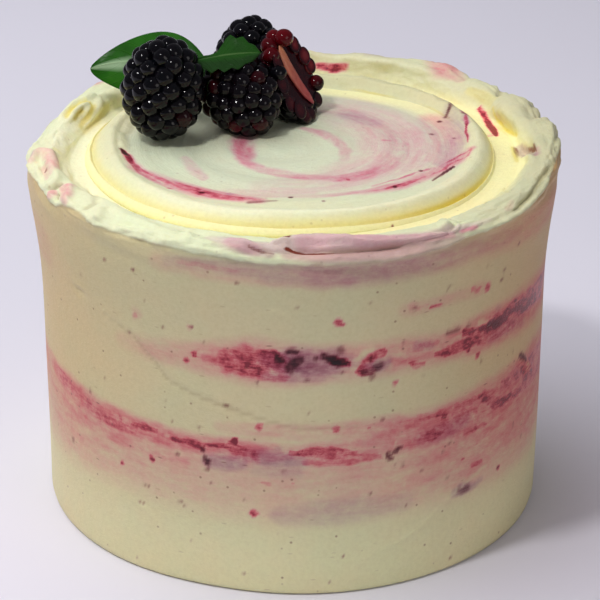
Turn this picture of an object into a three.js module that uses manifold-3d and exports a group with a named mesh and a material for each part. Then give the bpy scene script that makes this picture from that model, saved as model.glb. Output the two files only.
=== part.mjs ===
// Round iced layer cake with marbled sides, a spread swirl disc on top,
// four dark berries (one cut in half) and two green leaves.
// Millimetres, +Z up. The origin is the middle of the base, the front is -Y.
// Angles round the cake are degrees from +X, so -90 is the front.

import * as THREE from "three";
import Module from "manifold-3d";

const wasm = await Module();
wasm.setup();

// ---- Iced cake: driving dimensions ----
const baseRadius = 80.1;
const sideTaper = 0.012;
const flareStart = 62;
const flareOut = 3.0;
const lipHeight = 113.9;
const topLean = 0.85;
const footRound = 1.3;
const crestRadius = 76.8;
const crestHeight = 119.8;
const crestTilt = 0.8;
const rimRoundness = 0.74;
const troughRadius = 70.8;
const floorHeight = 114.2;

// ---- Swirl disc: driving dimensions ----
const discCentre = [-1.7, 1.5];
const discRadius = 64.9;
const discFoot = 114.5;
const beadWidth = 1.7;
const beadHeight = 117.0;
const grooveInset = 3.7;
const grooveHeight = 116.4;
const ringHeight = 120.3;
const dishRadius = 56.0;
const dishHeight = 117.8;
const centreHeight = 118.2;
const spiralPitch = 15;
const spiralRelief = 0.28;

// ---- Mesh fineness ----
const cakeSteps = 90;
const discSteps = 72;
const gap = 0.3;
const shortEdge = 0.01;

// ---- Small helpers ----
const rad = Math.PI / 180;
const clamp01 = (t) => Math.min(1, Math.max(0, t));
const mix = (a, b, t) => a + (b - a) * t;
const bump = (x, w) => Math.exp(-(x / w) * (x / w));

function smooth(t) {
  const c = clamp01(t);
  return c * c * (3 - 2 * c);
}

// Signed difference of two angles, in -180 to 180.
function turn(a, b) {
  const d = (a - b) % 360;
  if (d > 180) return d - 360;
  if (d < -180) return d + 360;
  return d;
}

// ---- Relief on the iced cake ----
// Lumps and hollows: a angle, v place across the rim in mm (0 at the lip,
// 12 at the crest, 20 where the rim meets the trough, below 0 down the side),
// wa and wv half widths, h height along the surface normal.
const lumps = [
  { a: -169.0, v: 8.0, wa: 3.0, wv: 3.0, h: -1.1 },
  { a: -159.5, v: 6.0, wa: 2.2, wv: 5.0, h: -0.9 },
  { a: -151.8, v: 8.0, wa: 2.6, wv: 2.4, h: -1.0 },
  { a: -141.0, v: 9.0, wa: 5.0, wv: 4.0, h: 0.8 },
  { a: -112.4, v: 6.0, wa: 12.0, wv: 5.0, h: 0.7 },
  { a: -100.0, v: 7.0, wa: 4.0, wv: 2.8, h: 1.1 },
  { a: -87.6, v: 8.0, wa: 3.2, wv: 1.8, h: -2.0 },
  { a: -56.0, v: 10.0, wa: 2.2, wv: 2.6, h: 1.3 },
  { a: -8.0, v: 8.0, wa: 8.0, wv: 5.0, h: 0.8 },
  { a: 2.0, v: 5.0, wa: 4.4, wv: 4.2, h: 1.2 },
  { a: 1.1, v: 17.0, wa: 3.0, wv: 3.0, h: -1.3 },
  { a: 10.5, v: 9.0, wa: 2.6, wv: 5.0, h: -0.9 },
  { a: 23.0, v: 9.0, wa: 7.5, wv: 6.5, h: 3.2 },
  { a: 35.0, v: 5.0, wa: 5.0, wv: 5.0, h: 2.0 },
  { a: 57.0, v: 7.0, wa: 10.0, wv: 5.5, h: 2.2 },
  { a: 72.0, v: 9.5, wa: 6.0, wv: 5.0, h: 1.1 },
  { a: 96.0, v: 9.0, wa: 6.0, wv: 5.0, h: 0.6 },
  { a: 118.0, v: 8.0, wa: 6.0, wv: 5.0, h: 0.6 },
  { a: 142.2, v: 5.0, wa: 4.0, wv: 4.0, h: 0.4 },
  { a: 165.0, v: 11.0, wa: 14.0, wv: 7.0, h: -0.9 },
  { a: 173.0, v: 3.5, wa: 9.0, wv: 5.5, h: -2.7 },
];

// Folds: ridges that run along the rim from angle a0 to a1 and from v0 to v1.
const folds = [
  { a0: -95, a1: -56, v0: 14.0, v1: 4.0, wv: 3.0, h: 0.9 },
  { a0: -93, a1: -60, v0: 9.0, v1: 1.8, wv: 1.5, h: -1.0 },
  { a0: -100, a1: -60, v0: 2.4, v1: 0.6, wv: 1.8, h: 0.7 },
  { a0: -50, a1: -18, v0: 2.2, v1: 1.2, wv: 1.1, h: 0.9 },
  { a0: 8, a1: 32, v0: 16.0, v1: 15.0, wv: 2.4, h: 1.2 },
  { a0: 60, a1: 130, v0: 13.0, v1: 12.0, wv: 2.2, h: 0.6 },
];

// Dents and raised bits low on the side, z in mm.
const sideMarks = [
  { a: -143.4, z: 89, wa: 2.6, wz: 1.6, h: -0.7 },
  { a: -72.3, z: 79, wa: 4.0, wz: 4.6, h: 1.0 },
  { a: -96.0, z: 72, wa: 12, wz: 7, h: -0.5 },
  { a: -40.0, z: 60, wa: 14, wz: 9, h: 0.4 },
  { a: -130.0, z: 40, wa: 16, wz: 10, h: -0.35 },
  { a: -20.0, z: 98, wa: 10, wz: 6, h: -0.4 },
  { a: 60.0, z: 70, wa: 18, wz: 12, h: 0.4 },
  { a: 140.0, z: 55, wa: 16, wz: 10, h: -0.4 },
];

function foldHeight(f, a, v) {
  const t = turn(a, f.a0) / turn(f.a1, f.a0);
  const ends = smooth(t / 0.12) * smooth((1 - t) / 0.2);
  if (t <= 0 || t >= 1) return 0;
  return f.h * ends * bump(v - mix(f.v0, f.v1, t), f.wv);
}

function rimRelief(a, v) {
  let h = 0;
  for (const l of lumps) {
    h += l.h * bump(turn(a, l.a), l.wa) * bump(v - l.v, l.wv);
  }
  for (const f of folds) h += foldHeight(f, a, v);
  const calm = smooth((v + 8) / 8) * (1 - smooth((v - 15) / 4));
  h += calm * 0.35 * Math.sin((5 * a + 40) * rad) * Math.cos(v * 0.45);
  h += calm * 0.28 * Math.sin((11 * a + 75) * rad + v * 0.6);
  return h;
}

function sideRadius(a, z) {
  const up = smooth((z - flareStart) / (lipHeight - flareStart));
  const lean = topLean * Math.cos(a * rad) * smooth((z - 60) / 50);
  const hollow = 1.0 * bump(turn(a, -108), 16) * (1 - smooth(z / 55));
  let r = baseRadius + sideTaper * z + flareOut * Math.pow(up, 2.2);
  r -= lean + hollow;
  for (const m of sideMarks) {
    r += m.h * bump(turn(a, m.a), m.wa) * bump(z - m.z, m.wz);
  }
  r += 0.22 * Math.sin((3 * a + 2.1 * z) * rad) * Math.cos(2 * z * rad);
  return r;
}

// Point of the plain rim section at angle a and place v, as [radius, height].
function rimSection(a, v) {
  const lip = sideRadius(a, lipHeight);
  const lipZ = lipHeight + 0.5 * Math.cos((2 * a + 20) * rad);
  const crest = crestRadius + 0.5 * Math.sin((4 * a + 30) * rad);
  const crestZ = crestHeight + crestTilt * Math.sin(a * rad);
  if (v <= 12) {
    const q = (1 - v / 12) * 90 * rad;
    const r = crest + (lip - crest) * Math.pow(Math.sin(q), rimRoundness);
    const z = lipZ + (crestZ - lipZ) * Math.pow(Math.cos(q), rimRoundness);
    return [r, z];
  }
  const foot = troughRadius + 0.6 * Math.sin((6 * a + 10) * rad);
  if (v <= 20) {
    const t = (v - 12) / 8;
    return [mix(crest, foot, t), mix(crestZ, floorHeight, smooth(t))];
  }
  return [foot - (v - 20), floorHeight];
}

function rimPoint(a, v) {
  const p = rimSection(a, v);
  const before = rimSection(a, Math.max(0.02, v - 0.4));
  const after = rimSection(a, v + 0.4);
  let nr = after[1] - before[1];
  let nz = before[0] - after[0];
  const length = Math.hypot(nr, nz) || 1;
  nr /= length;
  nz /= length;
  const h = rimRelief(a, v);
  return [p[0] + nr * h, p[1] + nz * h];
}

// Section of the iced cake at angle a, from the foot to the hidden top.
const sideRows = [0.1, 0.32, 0.5, 0.62, 0.72, 0.82, 0.9, 0.96];
const rimRows = [0.3, 1.6, 3.2, 5.2, 7.4, 9.6, 12, 14.2, 16.6, 19.6];

function cakeSection(a) {
  const lipZ = lipHeight + 0.5 * Math.cos((2 * a + 20) * rad);
  const rows = [];
  rows.push([sideRadius(a, 0) - footRound, 0]);
  rows.push([sideRadius(a, 0) - footRound * 0.3, footRound * 0.35]);
  rows.push([sideRadius(a, footRound), footRound]);
  for (const f of sideRows) {
    const z = f * lipZ;
    const near = rimRelief(a, z - lipZ);
    rows.push([sideRadius(a, z) + near, z]);
  }
  for (const v of rimRows) rows.push(rimPoint(a, v));
  rows.push([66.0, floorHeight]);
  return rows;
}

// ---- Closed solids from rings of points ----
// Rings run from the bottom ring to the top ring; both ends close on a pole.
function closeRings(rings, bottomPole, topPole) {
  const n = rings[0].length;
  const points = [];
  const faces = [];
  for (const ring of rings) points.push(...ring);
  for (let k = 0; k + 1 < rings.length; k += 1) {
    for (let i = 0; i < n; i += 1) {
      const j = (i + 1) % n;
      const a = k * n + i;
      const b = k * n + j;
      const c = (k + 1) * n + j;
      const d = (k + 1) * n + i;
      faces.push(a, b, c, a, c, d);
    }
  }
  const low = points.push(bottomPole) - 1;
  const high = points.push(topPole) - 1;
  const top = (rings.length - 1) * n;
  for (let i = 0; i < n; i += 1) {
    const j = (i + 1) % n;
    faces.push(low, j, i, high, top + i, top + j);
  }
  return toSolid(points, faces);
}

function toSolid(points, faces) {
  const mesh = new wasm.Mesh({
    numProp: 3,
    vertProperties: new Float32Array(points.flat()),
    triVerts: new Uint32Array(faces),
  });
  mesh.merge();
  return new wasm.Manifold(mesh);
}

function toGeometry(solid) {
  const mesh = solid.simplify(shortEdge).getMesh();
  const geometry = new THREE.BufferGeometry();
  const positions = new THREE.BufferAttribute(
    new Float32Array(mesh.vertProperties), 3);
  geometry.setAttribute("position", positions);
  geometry.setIndex(new THREE.BufferAttribute(
    new Uint32Array(mesh.triVerts), 1));
  geometry.computeVertexNormals();
  return geometry;
}

// The outer skin of the largest piece, without slivers or sealed pockets.
function largest(solid) {
  const pieces = solid.decompose();
  pieces.sort((p, q) => q.volume() - p.volume());
  return pieces[0];
}

// Rope of icing laid along a path: round on top, deep below so that it is
// bedded in the rim, with pointed ends.
function rope(path, radius, sides, steps) {
  const curve = new THREE.CatmullRomCurve3(
    path.map((p) => new THREE.Vector3(...p)), false, "centripetal");
  const rings = [];
  for (let k = 1; k < steps; k += 1) {
    const t = k / steps;
    const at = curve.getPoint(t);
    const along = curve.getTangent(t);
    const side = new THREE.Vector3(0, 0, 1).cross(along).normalize();
    const up = along.clone().cross(side).normalize();
    const swell = radius * Math.pow(Math.sin(Math.PI * t), 0.35);
    const ring = [];
    for (let i = 0; i < sides; i += 1) {
      const q = (i / sides) * 2 * Math.PI;
      const p = at.clone();
      p.addScaledVector(side, Math.cos(q) * swell);
      p.addScaledVector(up, Math.sin(q) * swell * (q > Math.PI ? 2.6 : 1));
      ring.push([p.x, p.y, p.z]);
    }
    rings.push(ring);
  }
  const start = curve.getPoint(0);
  const end = curve.getPoint(1);
  return closeRings(rings, [start.x, start.y, start.z],
    [end.x, end.y, end.z]);
}

// Path point at angle a and place v of the rim, lifted along +Z.
function onRim(a, v, lift) {
  const p = rimPoint(a, v);
  return [p[0] * Math.cos(a * rad), p[0] * Math.sin(a * rad), p[1] + lift];
}

// ---- Iced cake ----
function icedCake() {
  const rings = [];
  const sections = [];
  for (let i = 0; i < cakeSteps; i += 1) {
    sections.push(cakeSection(-180 + (360 * i) / cakeSteps));
  }
  for (let k = 0; k < sections[0].length; k += 1) {
    const ring = [];
    for (let i = 0; i < cakeSteps; i += 1) {
      const a = (-180 + (360 * i) / cakeSteps) * rad;
      const [r, z] = sections[i][k];
      ring.push([r * Math.cos(a), r * Math.sin(a), z]);
    }
    rings.push(ring);
  }
  const body = closeRings(rings, [0, 0, 0], [0, 0, floorHeight]);
  const curl = rope([
    onRim(160.0, 9.6, 0.4), onRim(156.5, 11.0, 1.0), onRim(154.4, 13.6, 1.2),
    onRim(157.0, 15.6, 1.2), onRim(160.6, 14.0, 0.8), onRim(163.4, 15.0, 0.7),
    onRim(163.0, 18.2, 1.4), onRim(159.5, 19.4, 1.8), onRim(156.0, 18.6, 0.6),
  ], 1.0, 6, 20);
  const loop = rope([
    onRim(-162.5, 2.6, 0.0), onRim(-169.5, 4.2, 0.1), onRim(-174.5, 7.2, 0.3),
    onRim(-174.5, 11.0, 0.4), onRim(-169.0, 12.8, 0.4), onRim(-163.5, 11.0, 0.1),
  ], 1.5, 6, 16);
  const pinkLoop = rope([
    onRim(-151.5, 2.6, 0.0), onRim(-155.8, 6.4, 0.2), onRim(-156.2, 10.8, 0.3),
    onRim(-151.6, 12.6, 0.4), onRim(-147.4, 9.6, 0.3), onRim(-147.8, 5.0, 0.0),
  ], 1.25, 6, 14);
  const flap = rope([
    onRim(-94.0, 10.6, 0.4), onRim(-90.5, 13.4, 1.2), onRim(-86.0, 14.6, 1.5),
    onRim(-80.5, 12.2, 1.0), onRim(-73.0, 9.4, 0.6), onRim(-65.0, 6.6, 0.3),
    onRim(-57.0, 4.6, 0.0),
  ], 1.9, 6, 18);
  const pieces = [body, curl, loop, pinkLoop, flap];
  return largest(wasm.Manifold.union(pieces));
}

// ---- Swirl disc ----
// Outline of the disc, and of the dish inside its ring, round its middle.
function discOutline(a) {
  return discRadius + 2.8 * bump(turn(a, -118), 30)
    + 3.6 * bump(turn(a, 52), 36);
}

function dishOutline(a) {
  return dishRadius + 3.6 * Math.cos((a + 10) * rad)
    - 2.4 * bump(turn(a, 62), 24) + 0.4 * Math.sin((9 * a) * rad);
}

// The disc's section at angle a: place u is 0 at the foot, 1 at the top of
// the outer bead, 2 in the groove, 3 at the ring's crest, 4 at the dish's
// edge and 5 in the middle.
function discPoint(a, u) {
  const outer = discOutline(a);
  const dish = dishOutline(a);
  const groove = outer - grooveInset + 0.3 * Math.sin((3 * a + 60) * rad);
  const crest = mix(dish, groove, 0.45);
  const cut = grooveHeight - 0.9 * bump(turn(a, -22), 24);
  const top = ringHeight - 0.5 * bump(turn(a, 5), 40)
    + 0.15 * Math.sin((7 * a + 20) * rad);
  let r = 0;
  let z = 0;
  if (u <= 1) {
    r = outer - beadWidth * u;
    z = mix(discFoot, beadHeight, Math.sqrt(1 - (1 - u) * (1 - u)));
  } else if (u <= 2) {
    r = mix(outer - beadWidth, groove, u - 1);
    z = mix(beadHeight, cut, smooth(u - 1));
  } else if (u <= 3) {
    r = mix(groove, crest, u - 2);
    z = mix(cut, top, Math.sin((u - 2) * 90 * rad));
  } else if (u <= 4) {
    r = mix(crest, dish, u - 3);
    z = mix(top, dishHeight, smooth(u - 3));
  } else {
    r = dish * (5 - u);
    z = mix(dishHeight, centreHeight, smooth(u - 4));
    const swirl = Math.cos((a + (360 * r) / spiralPitch) * rad);
    z += spiralRelief * swirl * smooth((5 - u) * 4) * smooth((u - 4) * 9);
  }
  return [r, z];
}

const discRows = [0.12, 0.45, 1, 2, 2.2, 2.5, 2.8, 3.2, 3.5, 4, 4.1, 4.22,
  4.36, 4.5, 4.66, 4.84];

function swirlDisc() {
  const rings = [];
  for (const u of [0, ...discRows]) {
    const ring = [];
    for (let i = 0; i < discSteps; i += 1) {
      const a = -180 + (360 * i) / discSteps;
      const [r, z] = discPoint(a, u);
      ring.push([discCentre[0] + r * Math.cos(a * rad),
        discCentre[1] + r * Math.sin(a * rad), z]);
    }
    rings.push(ring);
  }
  const [x, y] = discCentre;
  return closeRings(rings, [x, y, discFoot], [x, y, centreHeight]);
}

// ---- Berries ----
// A berry is a barrel of staggered rows of domes about an axis that runs from
// the stalk end to the tip. wide is its largest width, long its length,
// narrow how much the tip end is slimmer, bead the spacing of the domes.
const berries = {
  berry_left: { at: [-42.0, 6.0, 134.6], axis: [-0.03, -0.06, -1.0],
    long: 34, wide: 25.6, narrow: 0.04, bead: 5.2, seed: 3 },
  berry_front: { at: [-17.2, 14.5, 129.3], axis: [0.55, -0.66, -0.4],
    long: 30, wide: 24.5, narrow: 0.16, bead: 4.4, seed: 11 },
  berry_back: { at: [-15.0, 45.5, 131.5], axis: [0.02, 0.42, 0.9],
    long: 27, wide: 23.5, narrow: 0.15, bead: 4.6, seed: 23 },
  berry_half: { at: [-0.6, 24.6, 132.6], axis: [-0.42, 0.1, 0.9],
    long: 33, wide: 24.4, narrow: 0.24, bead: 4.6, seed: 41 },
};
const cutNormal = [0.79, -0.44, 0.42];
const cutShift = 1.0;
const coreWide = 5.2;
const coreLong = 24;

// Repeatable small scatter in -1 to 1.
function scatter(seed, i) {
  const s = Math.sin(seed * 12.9898 + i * 78.233) * 43758.5453;
  return 2 * (s - Math.floor(s)) - 1;
}

function berryRadius(b, t) {
  const round = Math.pow(1 - Math.pow(Math.abs(2 * t - 1), 2.4), 0.5);
  return (b.wide / 2) * round * (1 - b.narrow * smooth((t - 0.35) / 0.65));
}

// Frame of a berry: along its axis and two directions across it.
function berryFrame(b) {
  const along = new THREE.Vector3(...b.axis).normalize();
  const hint = Math.abs(along.z) > 0.9 ? [0, 1, 0] : [0, 0, 1];
  const across = new THREE.Vector3(...hint).cross(along).normalize();
  const other = along.clone().cross(across).normalize();
  return { along, across, other };
}

// Middles and radii of the domes of a berry.
function berryBeads(b) {
  const beads = [];
  const { along, across, other } = berryFrame(b);
  const inset = b.bead * 0.42;
  const rows = Math.round(((b.long - b.bead) * 1.22) / (b.bead * 0.9));
  for (let k = 0; k <= rows; k += 1) {
    const q = (k / rows) * Math.PI;
    const t = 0.5 - 0.5 * Math.cos(q);
    const s = mix(inset / b.long, 1 - inset / b.long, t);
    const rho = Math.max(0, berryRadius(b, mix(0.015, 0.985, t)) - inset);
    const count = Math.max(1, Math.round((2 * Math.PI * rho) / b.bead));
    for (let i = 0; i < count; i += 1) {
      const id = k * 40 + i;
      const turnBy = (i + 0.5 * (k % 2) + 0.12 * scatter(b.seed, id));
      const w = (turnBy / count) * 2 * Math.PI;
      const c = new THREE.Vector3(...b.at);
      const shift = (s - 0.5) * b.long + 0.05 * b.bead * scatter(7, id);
      c.addScaledVector(along, shift);
      c.addScaledVector(across, Math.cos(w) * rho);
      c.addScaledVector(other, Math.sin(w) * rho);
      const size = b.bead * (0.57 + 0.035 * scatter(b.seed + 5, id));
      beads.push({ c, size, id });
    }
  }
  return beads;
}

// Turn that takes +Z to a direction, as a column matrix moved to a point.
function placed(solid, direction, at) {
  const q = new THREE.Quaternion().setFromUnitVectors(
    new THREE.Vector3(0, 0, 1), direction);
  const m = new THREE.Matrix4().compose(at, q, new THREE.Vector3(1, 1, 1));
  return solid.transform(m.elements.slice());
}

// Berry as one closed skin: each dome is a cap of facets, and neighbours meet
// in a crease at the corners of the triangles between their middles.
function wholeBerry(b) {
  const at = new THREE.Vector3(...b.at);
  const { along } = berryFrame(b);
  const beads = berryBeads(b);
  const directions = beads.map((bead) => {
    const d = bead.c.clone().sub(at);
    const lengthwise = d.dot(along);
    d.addScaledVector(along, lengthwise * (b.wide / b.long - 1));
    return d.normalize().multiplyScalar(100);
  });
  const hull = wasm.Manifold.hull(directions.map((d) => d.toArray()));
  const mesh = hull.getMesh();
  const owner = [];
  for (let i = 0; i < mesh.numVert; i += 1) {
    const v = new THREE.Vector3(...mesh.position(i));
    const gaps = directions.map((d) => d.distanceToSquared(v));
    owner.push(gaps.indexOf(Math.min(...gaps)));
  }
  const corners = [];
  const round = beads.map(() => new Map());
  for (let k = 0; k < mesh.numTri; k += 1) {
    const ids = [...mesh.verts(k)].map((i) => owner[i]);
    const middle = new THREE.Vector3();
    for (const id of ids) middle.addScaledVector(beads[id].c, 1 / 3);
    const sunk = middle.clone().sub(at).normalize();
    middle.addScaledVector(sunk, -0.03 * b.bead);
    corners.push(middle);
    for (let e = 0; e < 3; e += 1) {
      round[ids[e]].set(ids[(e + 1) % 3], { corner: k, next: ids[(e + 2) % 3] });
    }
  }
  const points = corners.map((c) => c.toArray());
  const faces = [];
  beads.forEach((bead, id) => {
    const out = bead.c.clone().sub(at);
    out.addScaledVector(along, -0.5 * out.dot(along));
    out.normalize();
    const loop = [];
    let from = [...round[id].keys()][0];
    for (let e = 0; e < round[id].size; e += 1) {
      loop.push(round[id].get(from).corner);
      from = round[id].get(from).next;
    }
    const apex = bead.c.clone().addScaledVector(out, bead.size);
    const top = points.push(apex.toArray()) - 1;
    const shoulder = loop.map((corner) => {
      const flat = corners[corner].clone().sub(bead.c);
      flat.addScaledVector(out, -flat.dot(out));
      const reach = Math.min(flat.length() * 0.74, bead.size * 0.9);
      const rise = Math.sqrt(bead.size * bead.size - reach * reach);
      const p = bead.c.clone();
      p.addScaledVector(flat.normalize(), reach);
      p.addScaledVector(out, rise);
      return points.push(p.toArray()) - 1;
    });
    for (let e = 0; e < loop.length; e += 1) {
      const f = (e + 1) % loop.length;
      faces.push(top, shoulder[e], shoulder[f]);
      faces.push(shoulder[e], loop[e], shoulder[f]);
      faces.push(shoulder[f], loop[e], loop[f]);
    }
  });
  return toSolid(points, faces);
}

// Slab that covers everything on the far side of a plane.
function halfSpace(point, normal) {
  const n = new THREE.Vector3(...normal).normalize();
  const box = wasm.Manifold.cube([120, 120, 60], true).translate([0, 0, 30]);
  return placed(box, n, point);
}

// Spindle of the pale core of the cut berry, from tip to stalk.
function coreSpindle(b, wide, long) {
  const { along } = berryFrame(b);
  const rings = [];
  for (let k = 1; k < 9; k += 1) {
    const t = k / 9;
    const r = (wide / 2) * Math.pow(Math.sin(Math.PI * t), 0.6);
    const ring = [];
    for (let i = 0; i < 10; i += 1) {
      const q = (i / 10) * 2 * Math.PI;
      ring.push([r * Math.cos(q), r * Math.sin(q), (t - 0.5) * long]);
    }
    rings.push(ring);
  }
  const solid = closeRings(rings, [0, 0, -long / 2], [0, 0, long / 2]);
  return placed(solid, along, new THREE.Vector3(...b.at));
}

// ---- Leaves ----
// A leaf is a thin wavy blade. base and tip are the ends of its midrib,
// up and down point from the midrib to its two edges, wide is the reach of
// each, bow lifts the midrib, and flapFrom is where the upper edge stands up.
const leaves = {
  leaf_left: { base: [-27.0, 23.0, 130.0], tip: [-67.2, 35.5, 130.4],
    up: [7, 13, 19.5], down: [-7, -13, -19.5], wide: [11.5, 11.5],
    bow: [0, 3.0, 3.5], thick: 0.7, cup: 1.6, teeth: 0, steps: 14, across: 4 },
  leaf_middle: { base: [-32.0, 13.0, 141.5], tip: [-11.0, 15.0, 143.6],
    up: [0.5, 6.5, 4.0], down: [-1.0, -8, -3.2], wide: [8.0, 9.0],
    bow: [0, 0, 0.8], thick: 0.7, cup: 0.3, teeth: 5, steps: 14, across: 4,
    flapFrom: 0.3 },
};

function leafPoint(leaf, t, w) {
  const base = new THREE.Vector3(...leaf.base);
  const tip = new THREE.Vector3(...leaf.tip);
  const along = tip.clone().sub(base);
  const side = new THREE.Vector3(...(w < 0 ? leaf.down : leaf.up));
  side.normalize().multiplyScalar(w < 0 ? -1 : 1);
  const face = along.clone().cross(side).normalize();
  const p = base.clone().addScaledVector(along, t);
  p.addScaledVector(new THREE.Vector3(...leaf.bow), 4 * t * (1 - t));
  const shape = Math.pow(Math.sin(Math.PI * Math.pow(t, 0.85)), 0.7);
  let half = leaf.wide[w < 0 ? 1 : 0] * shape;
  if (leaf.flapFrom && w > 0) {
    half *= mix(0.25, 1, smooth((t - leaf.flapFrom) / 0.15));
  }
  if (leaf.teeth > 0) {
    const bite = Math.abs(((t * leaf.teeth) % 1) - 0.5) * 2;
    half *= 1 - 0.22 * bite * Math.abs(w);
  }
  p.addScaledVector(side, w * half);
  const curve = leaf.cup * (w * w - 0.3) * shape;
  const wave = 0.5 * Math.sin(t * 9 + w * 2) * Math.abs(w);
  p.addScaledVector(face, curve + wave);
  return { p, face };
}

function leafSolid(leaf, grow) {
  const rows = [];
  const thick = leaf.thick / 2 + grow;
  const reach = 1 + grow / leaf.wide[1];
  const n = leaf.steps;
  const m = leaf.across;
  for (let k = 1; k < n; k += 1) {
    const ring = [];
    const t = k / n;
    for (let i = 0; i <= m; i += 1) {
      const { p, face } = leafPoint(leaf, t, reach * (-1 + (2 * i) / m));
      p.addScaledVector(face, thick);
      ring.push([p.x, p.y, p.z]);
    }
    for (let i = m; i >= 0; i -= 1) {
      const { p, face } = leafPoint(leaf, t, reach * (-1 + (2 * i) / m));
      p.addScaledVector(face, -thick);
      ring.push([p.x, p.y, p.z]);
    }
    rows.push(ring.reverse());
  }
  const a = leafPoint(leaf, 0.0, 0).p;
  const b = leafPoint(leaf, 1.0, 0).p;
  return closeRings(rows, [a.x, a.y, a.z], [b.x, b.y, b.z]);
}

// ---- Build ----
const cake = icedCake();
const disc = swirlDisc();
const part = new THREE.Group();
part.name = "bramble_layer_cake";

const slots = {
  icing: { color: 0xefe8c8, roughness: 0.55 },
  berry_skin: { color: 0x17121c, roughness: 0.2 },
  berry_core: { color: 0xc08a6a, roughness: 0.5 },
  leaf_green: { color: 0x2a4d1c, roughness: 0.35 },
};
const materials = {};
for (const [name, look] of Object.entries(slots)) {
  const material = new THREE.MeshStandardMaterial(look);
  material.name = name;
  materials[name] = material;
}

function addNode(name, solid, slot) {
  const mesh = new THREE.Mesh(toGeometry(solid), materials[slot]);
  mesh.name = name;
  part.add(mesh);
}

// The disc and cake, grown by the gap, that the berries stand clear of.
const discLift = disc.translate([0, 0, gap]);
const cakeLift = cake.translate([0, 0, gap]);

const half = berries.berry_half;
const cutPoint = new THREE.Vector3(...cutNormal).normalize()
  .multiplyScalar(cutShift).add(new THREE.Vector3(...half.at));
const cutPlane = halfSpace(cutPoint, cutNormal);
const wholes = {};
for (const [name, b] of Object.entries(berries)) {
  wholes[name] = wholeBerry(b);
}
wholes.berry_half = wholes.berry_half.subtract(cutPlane);
const made = { ...wholes };
made.berry_half = wholes.berry_half.subtract(
  coreSpindle(half, coreWide + 2 * gap, coreLong + 2 * gap));
made.berry_half_core = coreSpindle(half, coreWide, coreLong)
  .subtract(cutPlane);

// A berry a little larger about its middle, to keep its neighbours clear.
function swollen(name) {
  const [x, y, z] = berries[name].at;
  const k = 1 + (2.4 * gap) / berries[name].wide;
  return wholes[name].translate([-x, -y, -z]).scale(k).translate([x, y, z]);
}

addNode("iced_cake", cake, "icing");
addNode("swirl_disc", disc, "icing");
const names = Object.keys(berries);
for (const [name, solid] of Object.entries(made)) {
  let clear = solid.subtract(discLift).subtract(cakeLift);
  for (const other of names.slice(names.indexOf(name) + 1)) {
    if (name !== "berry_half_core") clear = clear.subtract(swollen(other));
  }
  for (const leaf of Object.values(leaves)) {
    clear = clear.subtract(leafSolid(leaf, gap));
  }
  const slot = name === "berry_half_core" ? "berry_core" : "berry_skin";
  addNode(name, largest(clear), slot);
}
for (const [name, leaf] of Object.entries(leaves)) {
  addNode(name, leafSolid(leaf, 0), "leaf_green");
}

export default part;
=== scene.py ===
"""Looks of the iced layer cake with its swirl disc, dark berries and leaves.

Shapes are worked out in millimetres, as in the part's source, and meshes are
in metres. Angles are degrees from +X, so -90 is the front.

A place on the side is an angle and a height. A place on the rim is an angle
and a place across its section: 0 at the lip, 12 at the crest, 20 where the
trough's floor starts, and below 0 on the side. A place on the disc is an
angle and a step from 0 at its foot to 5 at its middle.
"""

import math

import bmesh
import bpy
import numpy as np
from mathutils import Matrix, Vector


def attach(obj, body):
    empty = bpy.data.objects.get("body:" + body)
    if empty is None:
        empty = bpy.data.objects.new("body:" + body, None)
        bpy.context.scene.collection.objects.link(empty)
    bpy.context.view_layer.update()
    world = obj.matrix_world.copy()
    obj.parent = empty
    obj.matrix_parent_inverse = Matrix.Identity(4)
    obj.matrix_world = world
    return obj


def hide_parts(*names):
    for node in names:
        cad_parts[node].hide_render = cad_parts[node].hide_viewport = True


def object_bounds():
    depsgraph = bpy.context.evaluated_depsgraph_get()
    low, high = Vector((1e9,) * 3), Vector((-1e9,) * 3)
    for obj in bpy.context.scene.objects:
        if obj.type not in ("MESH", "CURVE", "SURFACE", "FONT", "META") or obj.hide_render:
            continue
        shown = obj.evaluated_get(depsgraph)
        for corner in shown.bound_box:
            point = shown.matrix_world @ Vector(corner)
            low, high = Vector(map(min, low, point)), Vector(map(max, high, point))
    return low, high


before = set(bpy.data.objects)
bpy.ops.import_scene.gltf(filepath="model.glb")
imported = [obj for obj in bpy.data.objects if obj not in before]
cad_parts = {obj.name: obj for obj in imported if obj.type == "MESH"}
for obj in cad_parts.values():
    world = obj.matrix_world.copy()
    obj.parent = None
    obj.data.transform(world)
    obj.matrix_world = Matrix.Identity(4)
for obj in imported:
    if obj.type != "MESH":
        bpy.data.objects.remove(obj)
cad_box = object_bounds()

MM = 0.001

# ---- Sizes ----
# The cake, as in the part's source.
BASE_RADIUS = 80.1
SIDE_TAPER = 0.012
FLARE_START = 62
FLARE_OUT = 3.0
FLARE_POWER = 2.2
LIP_HEIGHT = 113.9
TOP_LEAN = 0.85
FOOT_ROUND = 1.3
CREST_RADIUS = 76.8
CREST_HEIGHT = 119.8
CREST_TILT = 0.8
CREST_ACROSS = 12
RIM_ROUNDNESS = 0.74
TROUGH_RADIUS = 70.8
TROUGH_ACROSS = 20
FLOOR_HEIGHT = 114.2
FLOOR_INNER = 66.0

# The disc. Its ring rises from a groove inside a thin bead at the foot.
DISC_CENTRE = (-1.7, 1.5)
DISC_RADIUS = 64.9
DISC_FOOT = 114.5
GROOVE_HEIGHT = 115.2
RING_HEIGHT = 120.3
DISH_RADIUS = 56.0
DISH_HEIGHT = 117.8
CENTRE_HEIGHT = 118.2
SPIRAL_PITCH = 15
SPIRAL_RELIEF = 0.28

# What the mesh adds: how deep the disc's edge sits in the floor, and how far
# from the solids' box a point starts to be eased back.
HIDDEN_EDGE = 0.3
EASE = 0.6
# Millimetres along the side and along the rim for each degree of angle.
SIDE_MM = 1.4
RIM_MM = 1.34
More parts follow.
